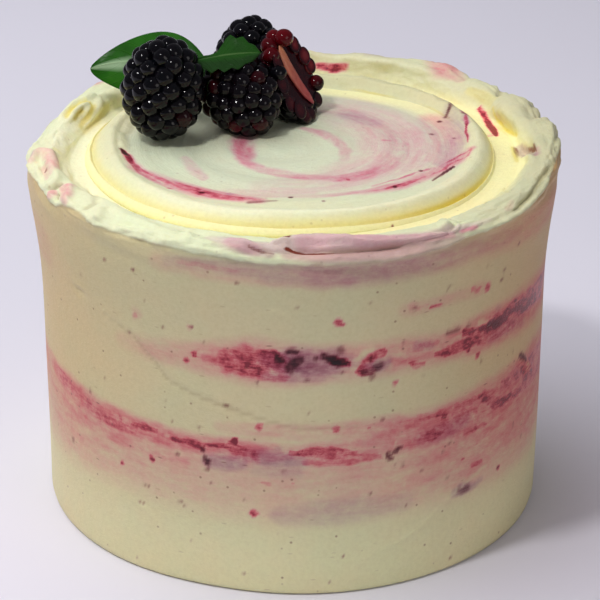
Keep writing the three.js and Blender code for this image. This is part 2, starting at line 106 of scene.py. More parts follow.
# How much deeper the rim's lines are than their tables say.
LINE_DEPTH = 1.55
# Step across the rim's section that gives its outward direction.
NORMAL_STEP = 0.4
# Radii at which noise is looked up round the side and the rim.
SIDE_AROUND = 80
RIM_AROUND = 77
# A shallow hollow low on the side: angle, half width, height it ends at.
FOOT_HOLLOW = (-108, 16, 55)

# ---- Relief tables ----
# Lumps and hollows of the rim: angle, place across, half widths, height.
LUMPS = [
    (-169.0, 8.0, 3.0, 3.0, -1.1), (-159.5, 6.0, 2.2, 5.0, -0.9),
    (-151.8, 8.0, 2.6, 2.4, -1.0), (-141.0, 9.0, 5.0, 4.0, 0.8),
    (-112.4, 6.0, 12.0, 5.0, 0.7), (-100.0, 7.0, 4.0, 2.8, 1.1),
    (-87.6, 8.0, 3.2, 1.8, -2.0), (-56.0, 10.0, 2.2, 2.6, 1.3),
    (-8.0, 8.0, 8.0, 5.0, 0.8), (2.0, 5.0, 4.4, 4.2, 1.2),
    (1.1, 17.0, 3.0, 3.0, -1.3), (8.0, 4.5, 7.0, 7.0, 2.1),
    (23.0, 9.0, 7.5, 6.5, 3.2), (36.0, 5.0, 5.0, 5.0, 0.7),
    (17.6, 6.0, 2.0, 6.0, -1.4), (157.0, 3.0, 10.0, 7.0, -2.3),
    (31.0, 10.0, 2.2, 4.0, -0.8), (-134.0, 5.0, 3.0, 3.4, 0.8),
    (168.0, 17.0, 26.0, 3.6, 1.3), (-42.0, 19.5, 24.0, 3.6, 1.6),
    (-90.0, 19.0, 16.0, 3.0, 0.7),
    (57.0, 7.0, 10.0, 5.5, 2.2), (72.0, 9.5, 6.0, 5.0, 1.1),
    (96.0, 9.0, 6.0, 5.0, 0.6), (118.0, 8.0, 6.0, 5.0, 0.6),
    (142.2, 5.0, 4.0, 4.0, 0.4), (165.0, 11.0, 14.0, 7.0, -0.5),
    (173.0, 3.5, 9.0, 5.5, -2.7),
]
# Folds along the rim: angles, places across, half width, height.
FOLDS = [
    (-95, -56, 11.0, 4.0, 2.6, 0.5), (-93, -60, 9.0, 1.8, 1.5, -1.0),
    (-100, -60, 2.4, 0.6, 1.8, 0.7), (-50, -18, 2.2, 1.2, 1.1, 0.9),
    (8, 32, 16.0, 15.0, 2.4, 1.2), (60, 130, 13.0, 12.0, 2.2, 0.6),
]
# Dents and raised bits of the side: angle, height, half widths, depth.
SIDE_MARKS = [
    (-143.4, 89, 2.6, 1.6, -0.7), (-72.3, 79, 4.0, 4.6, 1.0),
    (-96.0, 72, 12, 7, -0.5), (-40.0, 60, 14, 9, 0.4),
    (-130.0, 40, 16, 10, -0.35), (-20.0, 98, 10, 6, -0.4),
    (60.0, 70, 18, 12, 0.4), (140.0, 55, 16, 10, -0.4),
]
# Ropes of icing on the rim: (angle, place across, lift) points and radius.
ROPES = [
    ([(168.0, 11.6, 0.0), (163.0, 10.4, 0.2), (157.0, 10.2, 0.3),
      (152.6, 11.4, 0.4), (151.0, 13.6, 0.3), (153.0, 15.8, 0.2),
      (158.0, 17.0, 0.1), (164.0, 18.0, 0.0)], 1.3),
    ([(167.0, 13.8, 0.1), (161.0, 13.0, 0.4), (156.6, 13.4, 0.4),
      (157.0, 15.0, 0.2), (162.0, 15.6, 0.0)], 0.95),
    ([(-95.0, 9.0, 0.2), (-91.5, 11.0, 0.6), (-87.0, 11.8, 0.8),
      (-80.5, 10.4, 0.6), (-73.0, 8.6, 0.4), (-65.0, 7.0, 0.3),
      (-56.0, 5.6, 0.0)], 1.7),
]
# Narrow ridges and grooves of the rim: (angle, place across) points, half
# width and height.
RIM_LINES = [
    # Two loops at the left.
    ([(-168.4, 4), (-170, 6.5), (-172.6, 9), (-171, 11.2), (-166, 11.8),
      (-161, 10.8), (-157, 10.6), (-154.6, 8.6), (-154.8, 5)], 1.5, 1.2),
    ([(-165, 8.6), (-161, 8.8)], 1.6, -1.1),
    ([(-153.4, 10.4), (-153.2, 7.5), (-153.8, 4.6)], 0.8, -0.9),
    ([(-152, 9.6), (-149.8, 10.6), (-147, 8), (-145, 4.4)], 1.4, 1.0),
    ([(-151.2, 6.4), (-149.6, 4.6), (-149, 2.6)], 1.1, -1.2),
    ([(-152.4, 4.6), (-151.4, 1.6)], 0.9, 0.6),
    # Strokes and lumps of the front left.
    ([(-158, 22), (-151, 20), (-147, 15.4), (-142, 12), (-139, 10.4),
      (-139.4, 6)], 0.9, -0.45),
    ([(-165, 20), (-157.5, 16), (-154, 13)], 0.9, -0.3),
    ([(-174, 17.6), (-163, 14.2), (-156, 13)], 0.9, -0.3),
    ([(-136.6, 9.6), (-134.4, 6), (-134, 4)], 1.8, 0.9),
    ([(-129, 4.4), (-124, 5.4), (-119.6, 6.6)], 1.1, 0.5),
    ([(-118, 4), (-113, 5)], 1.0, 0.4),
    ([(-114.4, 11.4), (-115.4, 8)], 0.8, -0.4),
    ([(-113, 9.4), (-111.4, 6.4)], 1.2, 0.5),
    # Flap at the front.
    ([(-105, 8.6), (-101, 8.2), (-97, 6), (-94.6, 4.6)], 1.3, 0.7),
    ([(-99.5, 6.4), (-95.5, 4.2)], 0.7, -0.6),
    ([(-92, 5.6), (-80, 4.9), (-66, 4.2)], 1.9, -1.1),
    ([(-97, 1.0), (-88, 0.3), (-75, 0.3), (-62, 0.9), (-50, 1.7)], 0.8, 0.5),
    ([(-91, 10.4), (-89.6, 8.4)], 0.8, -0.5),
    ([(-86, 11.6), (-83, 9.4), (-80, 8.6)], 0.8, -0.35),
    ([(-78, 10.6), (-75, 8.6), (-70, 8)], 0.9, -0.4),
    ([(-71, 9.4), (-67, 7.4), (-62, 6.8)], 0.8, -0.35),
    ([(-84, 8.2), (-76, 7.0), (-68, 6.0)], 0.7, 0.35),
    # Right of the flap.
    ([(-44, 2.4), (-38, 2.2), (-30, 3.0), (-22, 3.8), (-19, 5.2)], 0.9, 0.6),
    ([(-37, 3.8), (-30, 5.2), (-24, 6.8), (-20, 7.4), (-14, 6.6),
      (-9, 6.2)], 1.0, -0.8),
    ([(-31, 12), (-28, 15.5), (-22, 19.6)], 0.9, -0.45),
    ([(-46, 14), (-40, 10), (-34, 8.6)], 1.0, -0.3),
    # Hollow and lumps at the right.
    ([(-9, 12), (-4, 13), (2, 17), (8, 19.2)], 1.5, -1.0),
    ([(-10, 13.6), (-5, 15.6), (0, 18.4)], 1.0, 0.6),
    ([(11, 17), (16, 18), (20, 18.4), (25, 17.6)], 1.1, -1.1),
    ([(13, 14), (19, 15), (25, 14.6)], 1.6, 0.7),
    ([(0, 7), (6, 4), (9, 0.5)], 1.0, -0.5),
    ([(4, 9), (10, 6), (13, 2)], 1.2, 0.5),
    ([(20, 8.6), (23, 4.6)], 1.1, -0.5),
    ([(30, 12), (34, 7), (37, 3)], 1.3, -0.8),
    ([(14, 11), (16.6, 6), (18, 1)], 1.2, -0.6),
    ([(46, 12), (44.4, 8), (47, 4.6), (53, 2.4)], 1.0, -0.5),
    ([(50, 9), (54, 5)], 2.6, 0.5),
    ([(62, 12.5), (70, 13.4), (78, 12.6)], 1.4, 0.5),
    ([(66, 8), (71, 9.6), (75, 8)], 1.2, -0.5),
    ([(84, 12), (92, 13.4), (102, 12.4)], 1.4, 0.5),
]
# Narrow ridges and grooves of the side: (angle, height) points, half width
# and height.
RIDGES = [
    ([(-77, 79.6), (-75.6, 82.6), (-73, 84.2), (-70, 84)], 1.2, 0.5),
    ([(-69.2, 82), (-68.4, 79), (-69.6, 76)], 1.1, -0.35),
    ([(-28, 63), (-25.4, 59.4), (-22.6, 56.4), (-20, 54)], 1.2, 0.7),
    ([(-31, 62), (-28, 58.6), (-25, 55)], 1.2, -0.4),
    ([(-135, 86), (-127, 82), (-121, 75), (-118, 70), (-112, 67),
      (-104, 64), (-96, 61), (-90, 58.6), (-76, 58.2)], 1.0, -0.22),
    ([(-135, 87.6), (-126, 83.6), (-119.6, 76), (-116.6, 71.4),
      (-111, 68.4), (-103, 65.6)], 1.2, 0.16),
    ([(-83, 3), (-73, 12.5), (-65, 16), (-60, 19), (-55, 25), (-48, 28.5),
      (-41, 31.5)], 0.9, 0.22),
    ([(-126.4, 24.4), (-121, 19)], 0.9, 0.3),
    ([(-145.4, 90.4), (-142.4, 91), (-140, 90.4)], 0.9, 0.45),
    ([(-83.6, 83), (-81.4, 80.8), (-78.6, 79.8)], 1.2, 0.35),
    ([(-50, 82.2), (-45, 83.6), (-41, 83.4)], 1.1, 0.35),
]
# A popped bubble on the rim: angle and place across.
BUBBLE = (-55.5, 9.4)
# Where the rim's icing ends on the side: angles and places across.
LIP_EDGE = np.array([
    (-180, 2.4), (-165, 2.2), (-156, 2.4), (-152, 1.0), (-149, 0.9),
    (-146, 3.4), (-140, 4.4), (-136, 2.6), (-130, 2.2), (-122, 2.9),
    (-112, 2.4), (-104, 1.4), (-98, 0.6), (-62, 0.4), (-50, 1.4),
    (-40, 1.8), (-30, 2.2), (-21, 3.0), (-17, 5.4), (-8, 5.4), (6, 2.6),
    (40, 2.0), (180, 2.4)])

# Swells round an outline: angle, half width in degrees, height in mm.
DISC_SWELLS = [(-118, 30, 2.8), (52, 36, 3.6), (-36, 24, 1.1)]
DISH_SWELLS = [(62, 24, -2.4), (180, 42, -2.2), (-92, 44, -4.0),
               (66, 34, -2.4), (-14, 40, -4.2)]
RING_SWELLS = [(-14, 44, -1.1), (70, 40, 0.8)]
SHELF_SWELLS = [(78, 52, 5.5), (-42, 26, 4.4), (-88, 24, 2.4),
                (168, 30, -3.0)]


# ---- Small helpers ----
def sind(x):
    return np.sin(np.radians(x))


def cosd(x):
    return np.cos(np.radians(x))


def smooth(t):
    """Eases from 0 to 1 as t goes from 0 to 1."""
    c = np.clip(t, 0.0, 1.0)
    return c * c * (3 - 2 * c)


def mix(a, b, t):
    return a + (b - a) * t


def bump(x, w):
    """A bell of height 1 at 0, with half width w."""
    return np.exp(-((x / w) ** 2))


def turn(a, b):
    """The angle from b to a, from -180 to 180."""
    return (a - b + 180.0) % 360.0 - 180.0


def around(a, middle, width):
    """A bell round an angle."""
    return bump(turn(a, middle), width)


def circle(a, radius):
    return radius * cosd(a), radius * sind(a)


def swells(a, table):
    return sum(height * around(a, at, width) for at, width, height in table)


def linear(r, g, b):
    """An sRGB colour of 0 to 255 as the linear RGBA that nodes take."""
    out = []
    for c in (r, g, b):
        c /= 255
        out.append(c / 12.92 if c <= 0.04045 else ((c + 0.055) / 1.055) ** 2.4)
    return (*out, 1.0)


def rgb(r, g, b):
    return np.array(linear(r, g, b)[:3])


def hashed(i, j, k, seed):
    """Repeatable pseudo random values in 0 to 1 for whole-number cells."""
    h = i * 374761393 + j * 668265263 + k * 2147483647 + seed * 1274126177
    h = (h ^ (h >> 13)) & 0xFFFFFFFF
    h = (h * 1274126177) & 0xFFFFFFFF
    h = h ^ (h >> 16)
    return (h & 0xFFFFFF) / float(0xFFFFFF)


def noise(x, y, z, seed=0, octaves=3, rough=0.5):
    """Smooth value noise of about -1 to 1 at coordinates x, y, z."""
    total = 0.0
    weight = 1.0
    norm = 0.0
    for o in range(octaves):
        f = 2.0 ** o
        px, py, pz = x * f + 17.3 * o, y * f + 5.1 * o, z * f + 9.7 * o
        ix, iy, iz = np.floor(px), np.floor(py), np.floor(pz)
        fx, fy, fz = smooth(px - ix), smooth(py - iy), smooth(pz - iz)
        ix, iy, iz = (v.astype(np.int64) for v in (ix, iy, iz))
        value = 0.0
        for dx in (0, 1):
            wx = fx if dx else 1 - fx
            for dy in (0, 1):
                wy = fy if dy else 1 - fy
                for dz in (0, 1):
                    wz = fz if dz else 1 - fz
                    corner = hashed(ix + dx, iy + dy, iz + dz, seed + o)
                    value = value + corner * wx * wy * wz
        total = total + (2 * value - 1) * weight
        norm += weight
        weight *= rough
    return total / norm


def path_distance(x, y, points):
    """Distance from (x, y) to a polyline, and where along it, from 0 to 1."""
    best = np.full(np.shape(x), 1e9)
    where = np.zeros(np.shape(x))
    lengths = [math.dist(p[:2], q[:2]) for p, q in zip(points, points[1:])]
    total = sum(lengths)
    done = 0.0
    for p, q, length in zip(points, points[1:], lengths):
        dx, dy = q[0] - p[0], q[1] - p[1]
        t = ((x - p[0]) * dx + (y - p[1]) * dy) / (dx * dx + dy * dy)
        t = np.clip(t, 0, 1)
        d = np.hypot(x - p[0] - t * dx, y - p[1] - t * dy)
        near = d < best
        best = np.where(near, d, best)
        where = np.where(near, (done + t * length) / total, where)
        done += length
    return best, where


def rounded(points, steps=6):
    """A finer polyline through the points, by Catmull-Rom."""
    p = np.array(points, float)
    p = np.vstack([2 * p[0] - p[1], p, 2 * p[-1] - p[-2]])
    out = []
    for k in range(1, len(p) - 2):
        for s in range(steps):
            t = s / steps
            a, b, c, d = p[k - 1], p[k], p[k + 1], p[k + 2]
            out.append(0.5 * ((2 * b) + (c - a) * t
                              + (2 * a - 5 * b + 4 * c - d) * t * t
                              + (3 * b - a - 3 * c + d) * t ** 3))
    out.append(p[-2])
    return [tuple(v) for v in out]


def stretched(points, width):
    """Points with their angles turned into mm, at width mm a degree."""
    return [(p[0] * width, *p[1:]) for p in points]


# ---- Iced cake ----
def fold_height(fold, a, v):
    a0, a1, v0, v1, width, height = fold
    t = turn(a, a0) / (a1 - a0)
    ends = smooth(t / 0.12) * smooth((1 - t) / 0.2)
    ends = np.where((t <= 0) | (t >= 1), 0, ends)
    return height * ends * bump(v - mix(v0, v1, t), width)


def rim_curve(a, v, points, steps):
    """Distance in mm from a place on the rim to a smooth curve through the
    points, where along it that is, and the curve."""
    a0 = points[len(points) // 2][0]
    path = rounded(stretched([(turn(p[0], a0), *p[1:]) for p in points],
                             RIM_MM), steps)
    return (*path_distance(turn(a, a0) * RIM_MM, v, path), path)


def bubble_height(a, v):
    """A small dome, with rings on its right where the icing sank."""
    across = turn(a, BUBBLE[0]) * RIM_MM
    d = np.hypot(across, v - BUBBLE[1])
    right = smooth((across + 1) / 2)
    dome = 0.9 * bump(d, 1.9) - 0.5 * bump(d - 2.9, 0.6)
    rings = 0.4 * bump(d - 3.9, 0.6) - 0.35 * bump(d - 4.9, 0.5)
    return dome + right * rings


def rim_relief(a, v):
    """Height of the rim's lumps, folds, lines, bubble and slow waves."""
    h = bubble_height(a, v)
    for la, lv, wa, wv, lh in LUMPS:
        h = h + lh * around(a, la, wa) * bump(v - lv, wv)
    for fold in FOLDS:
        h = h + fold_height(fold, a, v)
    for points, wide, height in RIM_LINES:
        d, t, _ = rim_curve(a, v, points, 4)
        ends = np.clip(5 * t * (1 - t) + 0.35, 0, 1)
        h = h + LINE_DEPTH * height * bump(d, wide) * ends
    calm = smooth((v + 8) / 8) * (1 - smooth((v - 15) / 4))
    slow = 0.35 * sind(5 * a + 40) * np.cos(v * 0.45)
    quick = 0.28 * np.sin(np.radians(11 * a + 75) + v * 0.6)
    return h + calm * (slow + quick)


def side_radius(a, z):
    up = smooth((z - FLARE_START) / (LIP_HEIGHT - FLARE_START))
    lean = TOP_LEAN * cosd(a) * smooth((z - 60) / 50)
    hollow_at, hollow_wide, hollow_top = FOOT_HOLLOW
    hollow = around(a, hollow_at, hollow_wide) * (1 - smooth(z / hollow_top))
    r = BASE_RADIUS + SIDE_TAPER * z + FLARE_OUT * up ** FLARE_POWER
    r = r - lean - hollow
    for ma, mz, wa, wz, h in SIDE_MARKS:
        r = r + h * around(a, ma, wa) * bump(z - mz, wz)
    for points, wide, height in RIDGES:
        d, t = path_distance(turn(a, 0) * SIDE_MM, z,
                             stretched(points, SIDE_MM))
        r = r + height * bump(d, wide) * np.clip(4 * t * (1 - t) + 0.3, 0, 1)
    return r + 0.22 * sind(3 * a + 2.1 * z) * cosd(2 * z)


def lip_z(a):
    return LIP_HEIGHT + 0.5 * cosd(2 * a + 20)


def rim_section(a, v):
    """Radius and height of the plain rim: a rounded quarter up to the crest,
    a slope down to the trough and then its floor."""
    lip = side_radius(a, LIP_HEIGHT + 0 * a)
    crest = CREST_RADIUS + 0.5 * sind(4 * a + 30)
    crest_z = CREST_HEIGHT + CREST_TILT * sind(a)
    q = np.radians((1 - np.clip(v / CREST_ACROSS, 0, 1)) * 90)
    out = np.clip(np.sin(q), 0, 1) ** RIM_ROUNDNESS
    up = np.clip(np.cos(q), 0, 1) ** RIM_ROUNDNESS
    foot = TROUGH_RADIUS + 0.6 * sind(6 * a + 10)
    t = (v - CREST_ACROSS) / (TROUGH_ACROSS - CREST_ACROSS)
    r = np.where(t > 1, foot - (v - TROUGH_ACROSS), mix(crest, foot, t))
    z = mix(crest_z, FLOOR_HEIGHT, smooth(t))
    return (np.where(t > 0, r, mix(crest, lip, out)),
            np.where(t > 0, z, mix(lip_z(a), crest_z, up)))


def rope_relief(a, v, base):
    """Height of the ropes over the rim's section, melted into base."""
    h = base
    for points, radius in ROPES:
        d, t, path = rim_curve(a, v, points, 6)
        lift = np.interp(t, np.linspace(0, 1, len(path)),
                         [p[2] for p in path])
        swell = radius * np.clip(np.sin(math.pi * t), 0, 1) ** 0.35
        top = base + lift + np.sqrt(np.clip(swell ** 2 - d ** 2, 0, None))
        h = np.where(d < swell, np.maximum(h, top), h)
    return h


def lip_edge(a):
    """Place across where the rim's icing ends, with a ragged line."""
    ragged = noise(*circle(a, 26), 0 * a, seed=17, octaves=3)
    edge = np.interp(turn(a, 0), LIP_EDGE[:, 0], LIP_EDGE[:, 1])
    return edge + 0.8 * ragged


def rim_wrinkles(a, v):
    """Soft wrinkles that the spatula left, and the rim's crumbly edge."""
    x, y = circle(a, RIM_AROUND)
    on = smooth((v + 2.5) / 4) * (1 - smooth((v - 17) / 4))
    fine = noise(x / 8, y / 8, v / 3.2, seed=3, octaves=4, rough=0.6)
    fine = fine * (1 + 0.9 * around(a, 75, 60))
    drag = noise(x / 20, y / 20, (v + 0.12 * a) / 1.6, seed=9, octaves=2)
    past = v - lip_edge(a)
    step = smooth((past + 0.5) / 0.9) * (1 - smooth((past - 1) / 6))
    crumbs = noise(x / 2.4, y / 2.4, v / 1.8, seed=19, octaves=2)
    near = smooth((past + 0.6) / 1.0) * (1 - smooth((past - 2.5) / 4))
    return (on * (0.75 * fine + 0.3 * drag) + 0.5 * step
            + 0.55 * crumbs * near)


def cake_point(a, v):
    """Radius and height of the iced cake at place v across."""
    z = np.maximum(lip_z(a) + v, 0)
    v_in = np.maximum(v, 0.02)
    r, h = rim_section(a, v_in)
    rb, hb = rim_section(a, np.maximum(0.02, v_in - NORMAL_STEP))
    ra, ha = rim_section(a, v_in + NORMAL_STEP)
    nr, nz = ha - hb, rb - ra
    length = np.maximum(np.hypot(nr, nz), 1e-9)
    relief = rope_relief(a, v, rim_relief(a, v)) + rim_wrinkles(a, v)
    side = side_radius(a, z) + relief
    rim_r, rim_z = r + nr / length * relief, h + nz / length * relief
    return np.where(v < 0, side, rim_r), np.where(v < 0, z, rim_z)


# ---- Swirl disc ----
def disc_outline(a):
    return DISC_RADIUS + swells(a, DISC_SWELLS)


def dish_outline(a):
    """Radius of the dish's edge, scalloped at the back."""
    scallops = around(a, 62, 40) * (0.9 * np.abs(sind(a * 6.5 + 20)) - 0.4)
    return (DISH_RADIUS + 3.6 * cosd(a + 10) + 0.4 * sind(9 * a)
            + swells(a, DISH_SWELLS) + scallops)


def disc_point(a, u):
    """Radius and height at step u: 0 foot, 1 bead, 2 groove, 3 ring's
    crest, 4 edge of the dish, 5 middle."""
    outer = disc_outline(a)
    dish = dish_outline(a)
    at_left = around(a, -128, 62)
    bead = outer - 0.3 - 2.0 * at_left
    groove = bead - 0.5 + 0.3 * sind(3 * a + 60)
    crest = mix(dish, groove, 0.5 + 0.2 * around(a, -85, 60)
                - 0.2 * around(a, 62, 40))
    cut = GROOVE_HEIGHT + 0.7 * at_left - 0.4 * around(a, -36, 24)
    bead_height = cut + 0.1 + 0.8 * at_left
    top = RING_HEIGHT + swells(a, RING_SWELLS) + 0.15 * sind(7 * a + 20)
    u1 = np.clip(u, 0, 1)
    r = mix(outer + HIDDEN_EDGE, bead, u1)
    swell = mix(u1, np.sqrt(1 - (1 - u1) ** 2), at_left)
    z = mix(FLOOR_HEIGHT - HIDDEN_EDGE, bead_height, swell)
    r = np.where(u > 1, mix(bead, groove, u - 1), r)
    z = np.where(u > 1, mix(bead_height, cut, smooth(u - 1)), z)
    r = np.where(u > 2, mix(groove, crest, u - 2), r)
    steep = np.clip(u - 2, 0, 1)
    z = np.where(u > 2, mix(cut, top, 1 - (1 - steep) ** 1.7), z)
    r = np.where(u > 3, mix(crest, dish, u - 3), r)
    z = np.where(u > 3, mix(top, DISH_HEIGHT, smooth(u - 3)), z)
    inner = dish * (5 - u)
    swirl = cosd(a + 360 * inner / SPIRAL_PITCH)
    fade = smooth((5 - u) * 4) * smooth((u - 4) * 9)
    dip = mix(DISH_HEIGHT, CENTRE_HEIGHT, smooth(u - 4))
    dip = dip + SPIRAL_RELIEF * swirl * fade
    return np.where(u > 4, inner, r), np.where(u > 4, dip, z)


def disc_wrinkles(a, u, r):
    """Stroke marks of the disc: ledges in the dish, soft ripples on the
    ring."""
    x, y = circle(a, 1)
    in_dish = smooth((u - 4.0) * 12) * smooth((5 - u) * 8)
    on_ring = smooth((u - 0.9) * 3) * (1 - smooth((u - 3.7) * 3))
    marks = noise(x * 2.2, y * 2.2, r / 2.4, seed=21, octaves=3)
    ripple = noise(x * 12, y * 12, r / 4.0, seed=33, octaves=2)
    ledge = (-0.5 * bump(u - 3.3, 0.14) * around(a, 174, 36)
             - 0.25 * bump(u - 3.5, 0.1) * around(a, -85, 46))
    uneven = 0.3 + 0.35 * around(a, 178, 40) + 0.6 * around(a, 60, 50)
    return in_dish * 0.16 * marks + on_ring * uneven * ripple + ledge


# ---- Meshes from rings of points ----
def add_object(name, verts, faces):
    mesh = bpy.data.meshes.new(name)
    mesh.from_pydata((np.asarray(verts) * MM).tolist(), [], faces)
    mesh.update()
    mesh.shade_smooth()
    obj = bpy.data.objects.new(name, mesh)
    bpy.context.scene.collection.objects.link(obj)
    return obj


def closed_rings(verts, columns, low, high):
    """Points and faces of a closed mesh: rings of points from the lowest up,
    with an end point under the first and one over the last."""
    rows = len(verts) // columns
    k = np.arange(rows - 1)[:, None] * columns
    i = np.arange(columns)[None, :]
    j = (i + 1) % columns
    quads = np.stack([k + i, k + j, k + columns + j, k + columns + i], -1)
    faces = quads.reshape(-1, 4).tolist()
    bottom, top = len(verts), len(verts) + 1
    last = (rows - 1) * columns
    for i in range(columns):
        j = (i + 1) % columns
        faces.append((bottom, j, i))
        faces.append((top, last + i, last + j))
    return np.vstack([verts, [low, high]]), faces


def paint(obj, name, values):
    """Keeps one number or one vector for each vertex, for the shader."""
    values = np.asarray(values, np.float32)
    if values.ndim == 1:
        layer = obj.data.attributes.new(name, "FLOAT", "POINT")
        layer.data.foreach_set("value", values)
    else:
        layer = obj.data.attributes.new(name, "FLOAT_VECTOR", "POINT")
        layer.data.foreach_set("vector", values.ravel())


def dress(obj, node, material):
    """Gives a piece its material and puts it in the place of its solid."""
    obj.data.materials.append(material)
    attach(obj, "root")
    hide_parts(node)


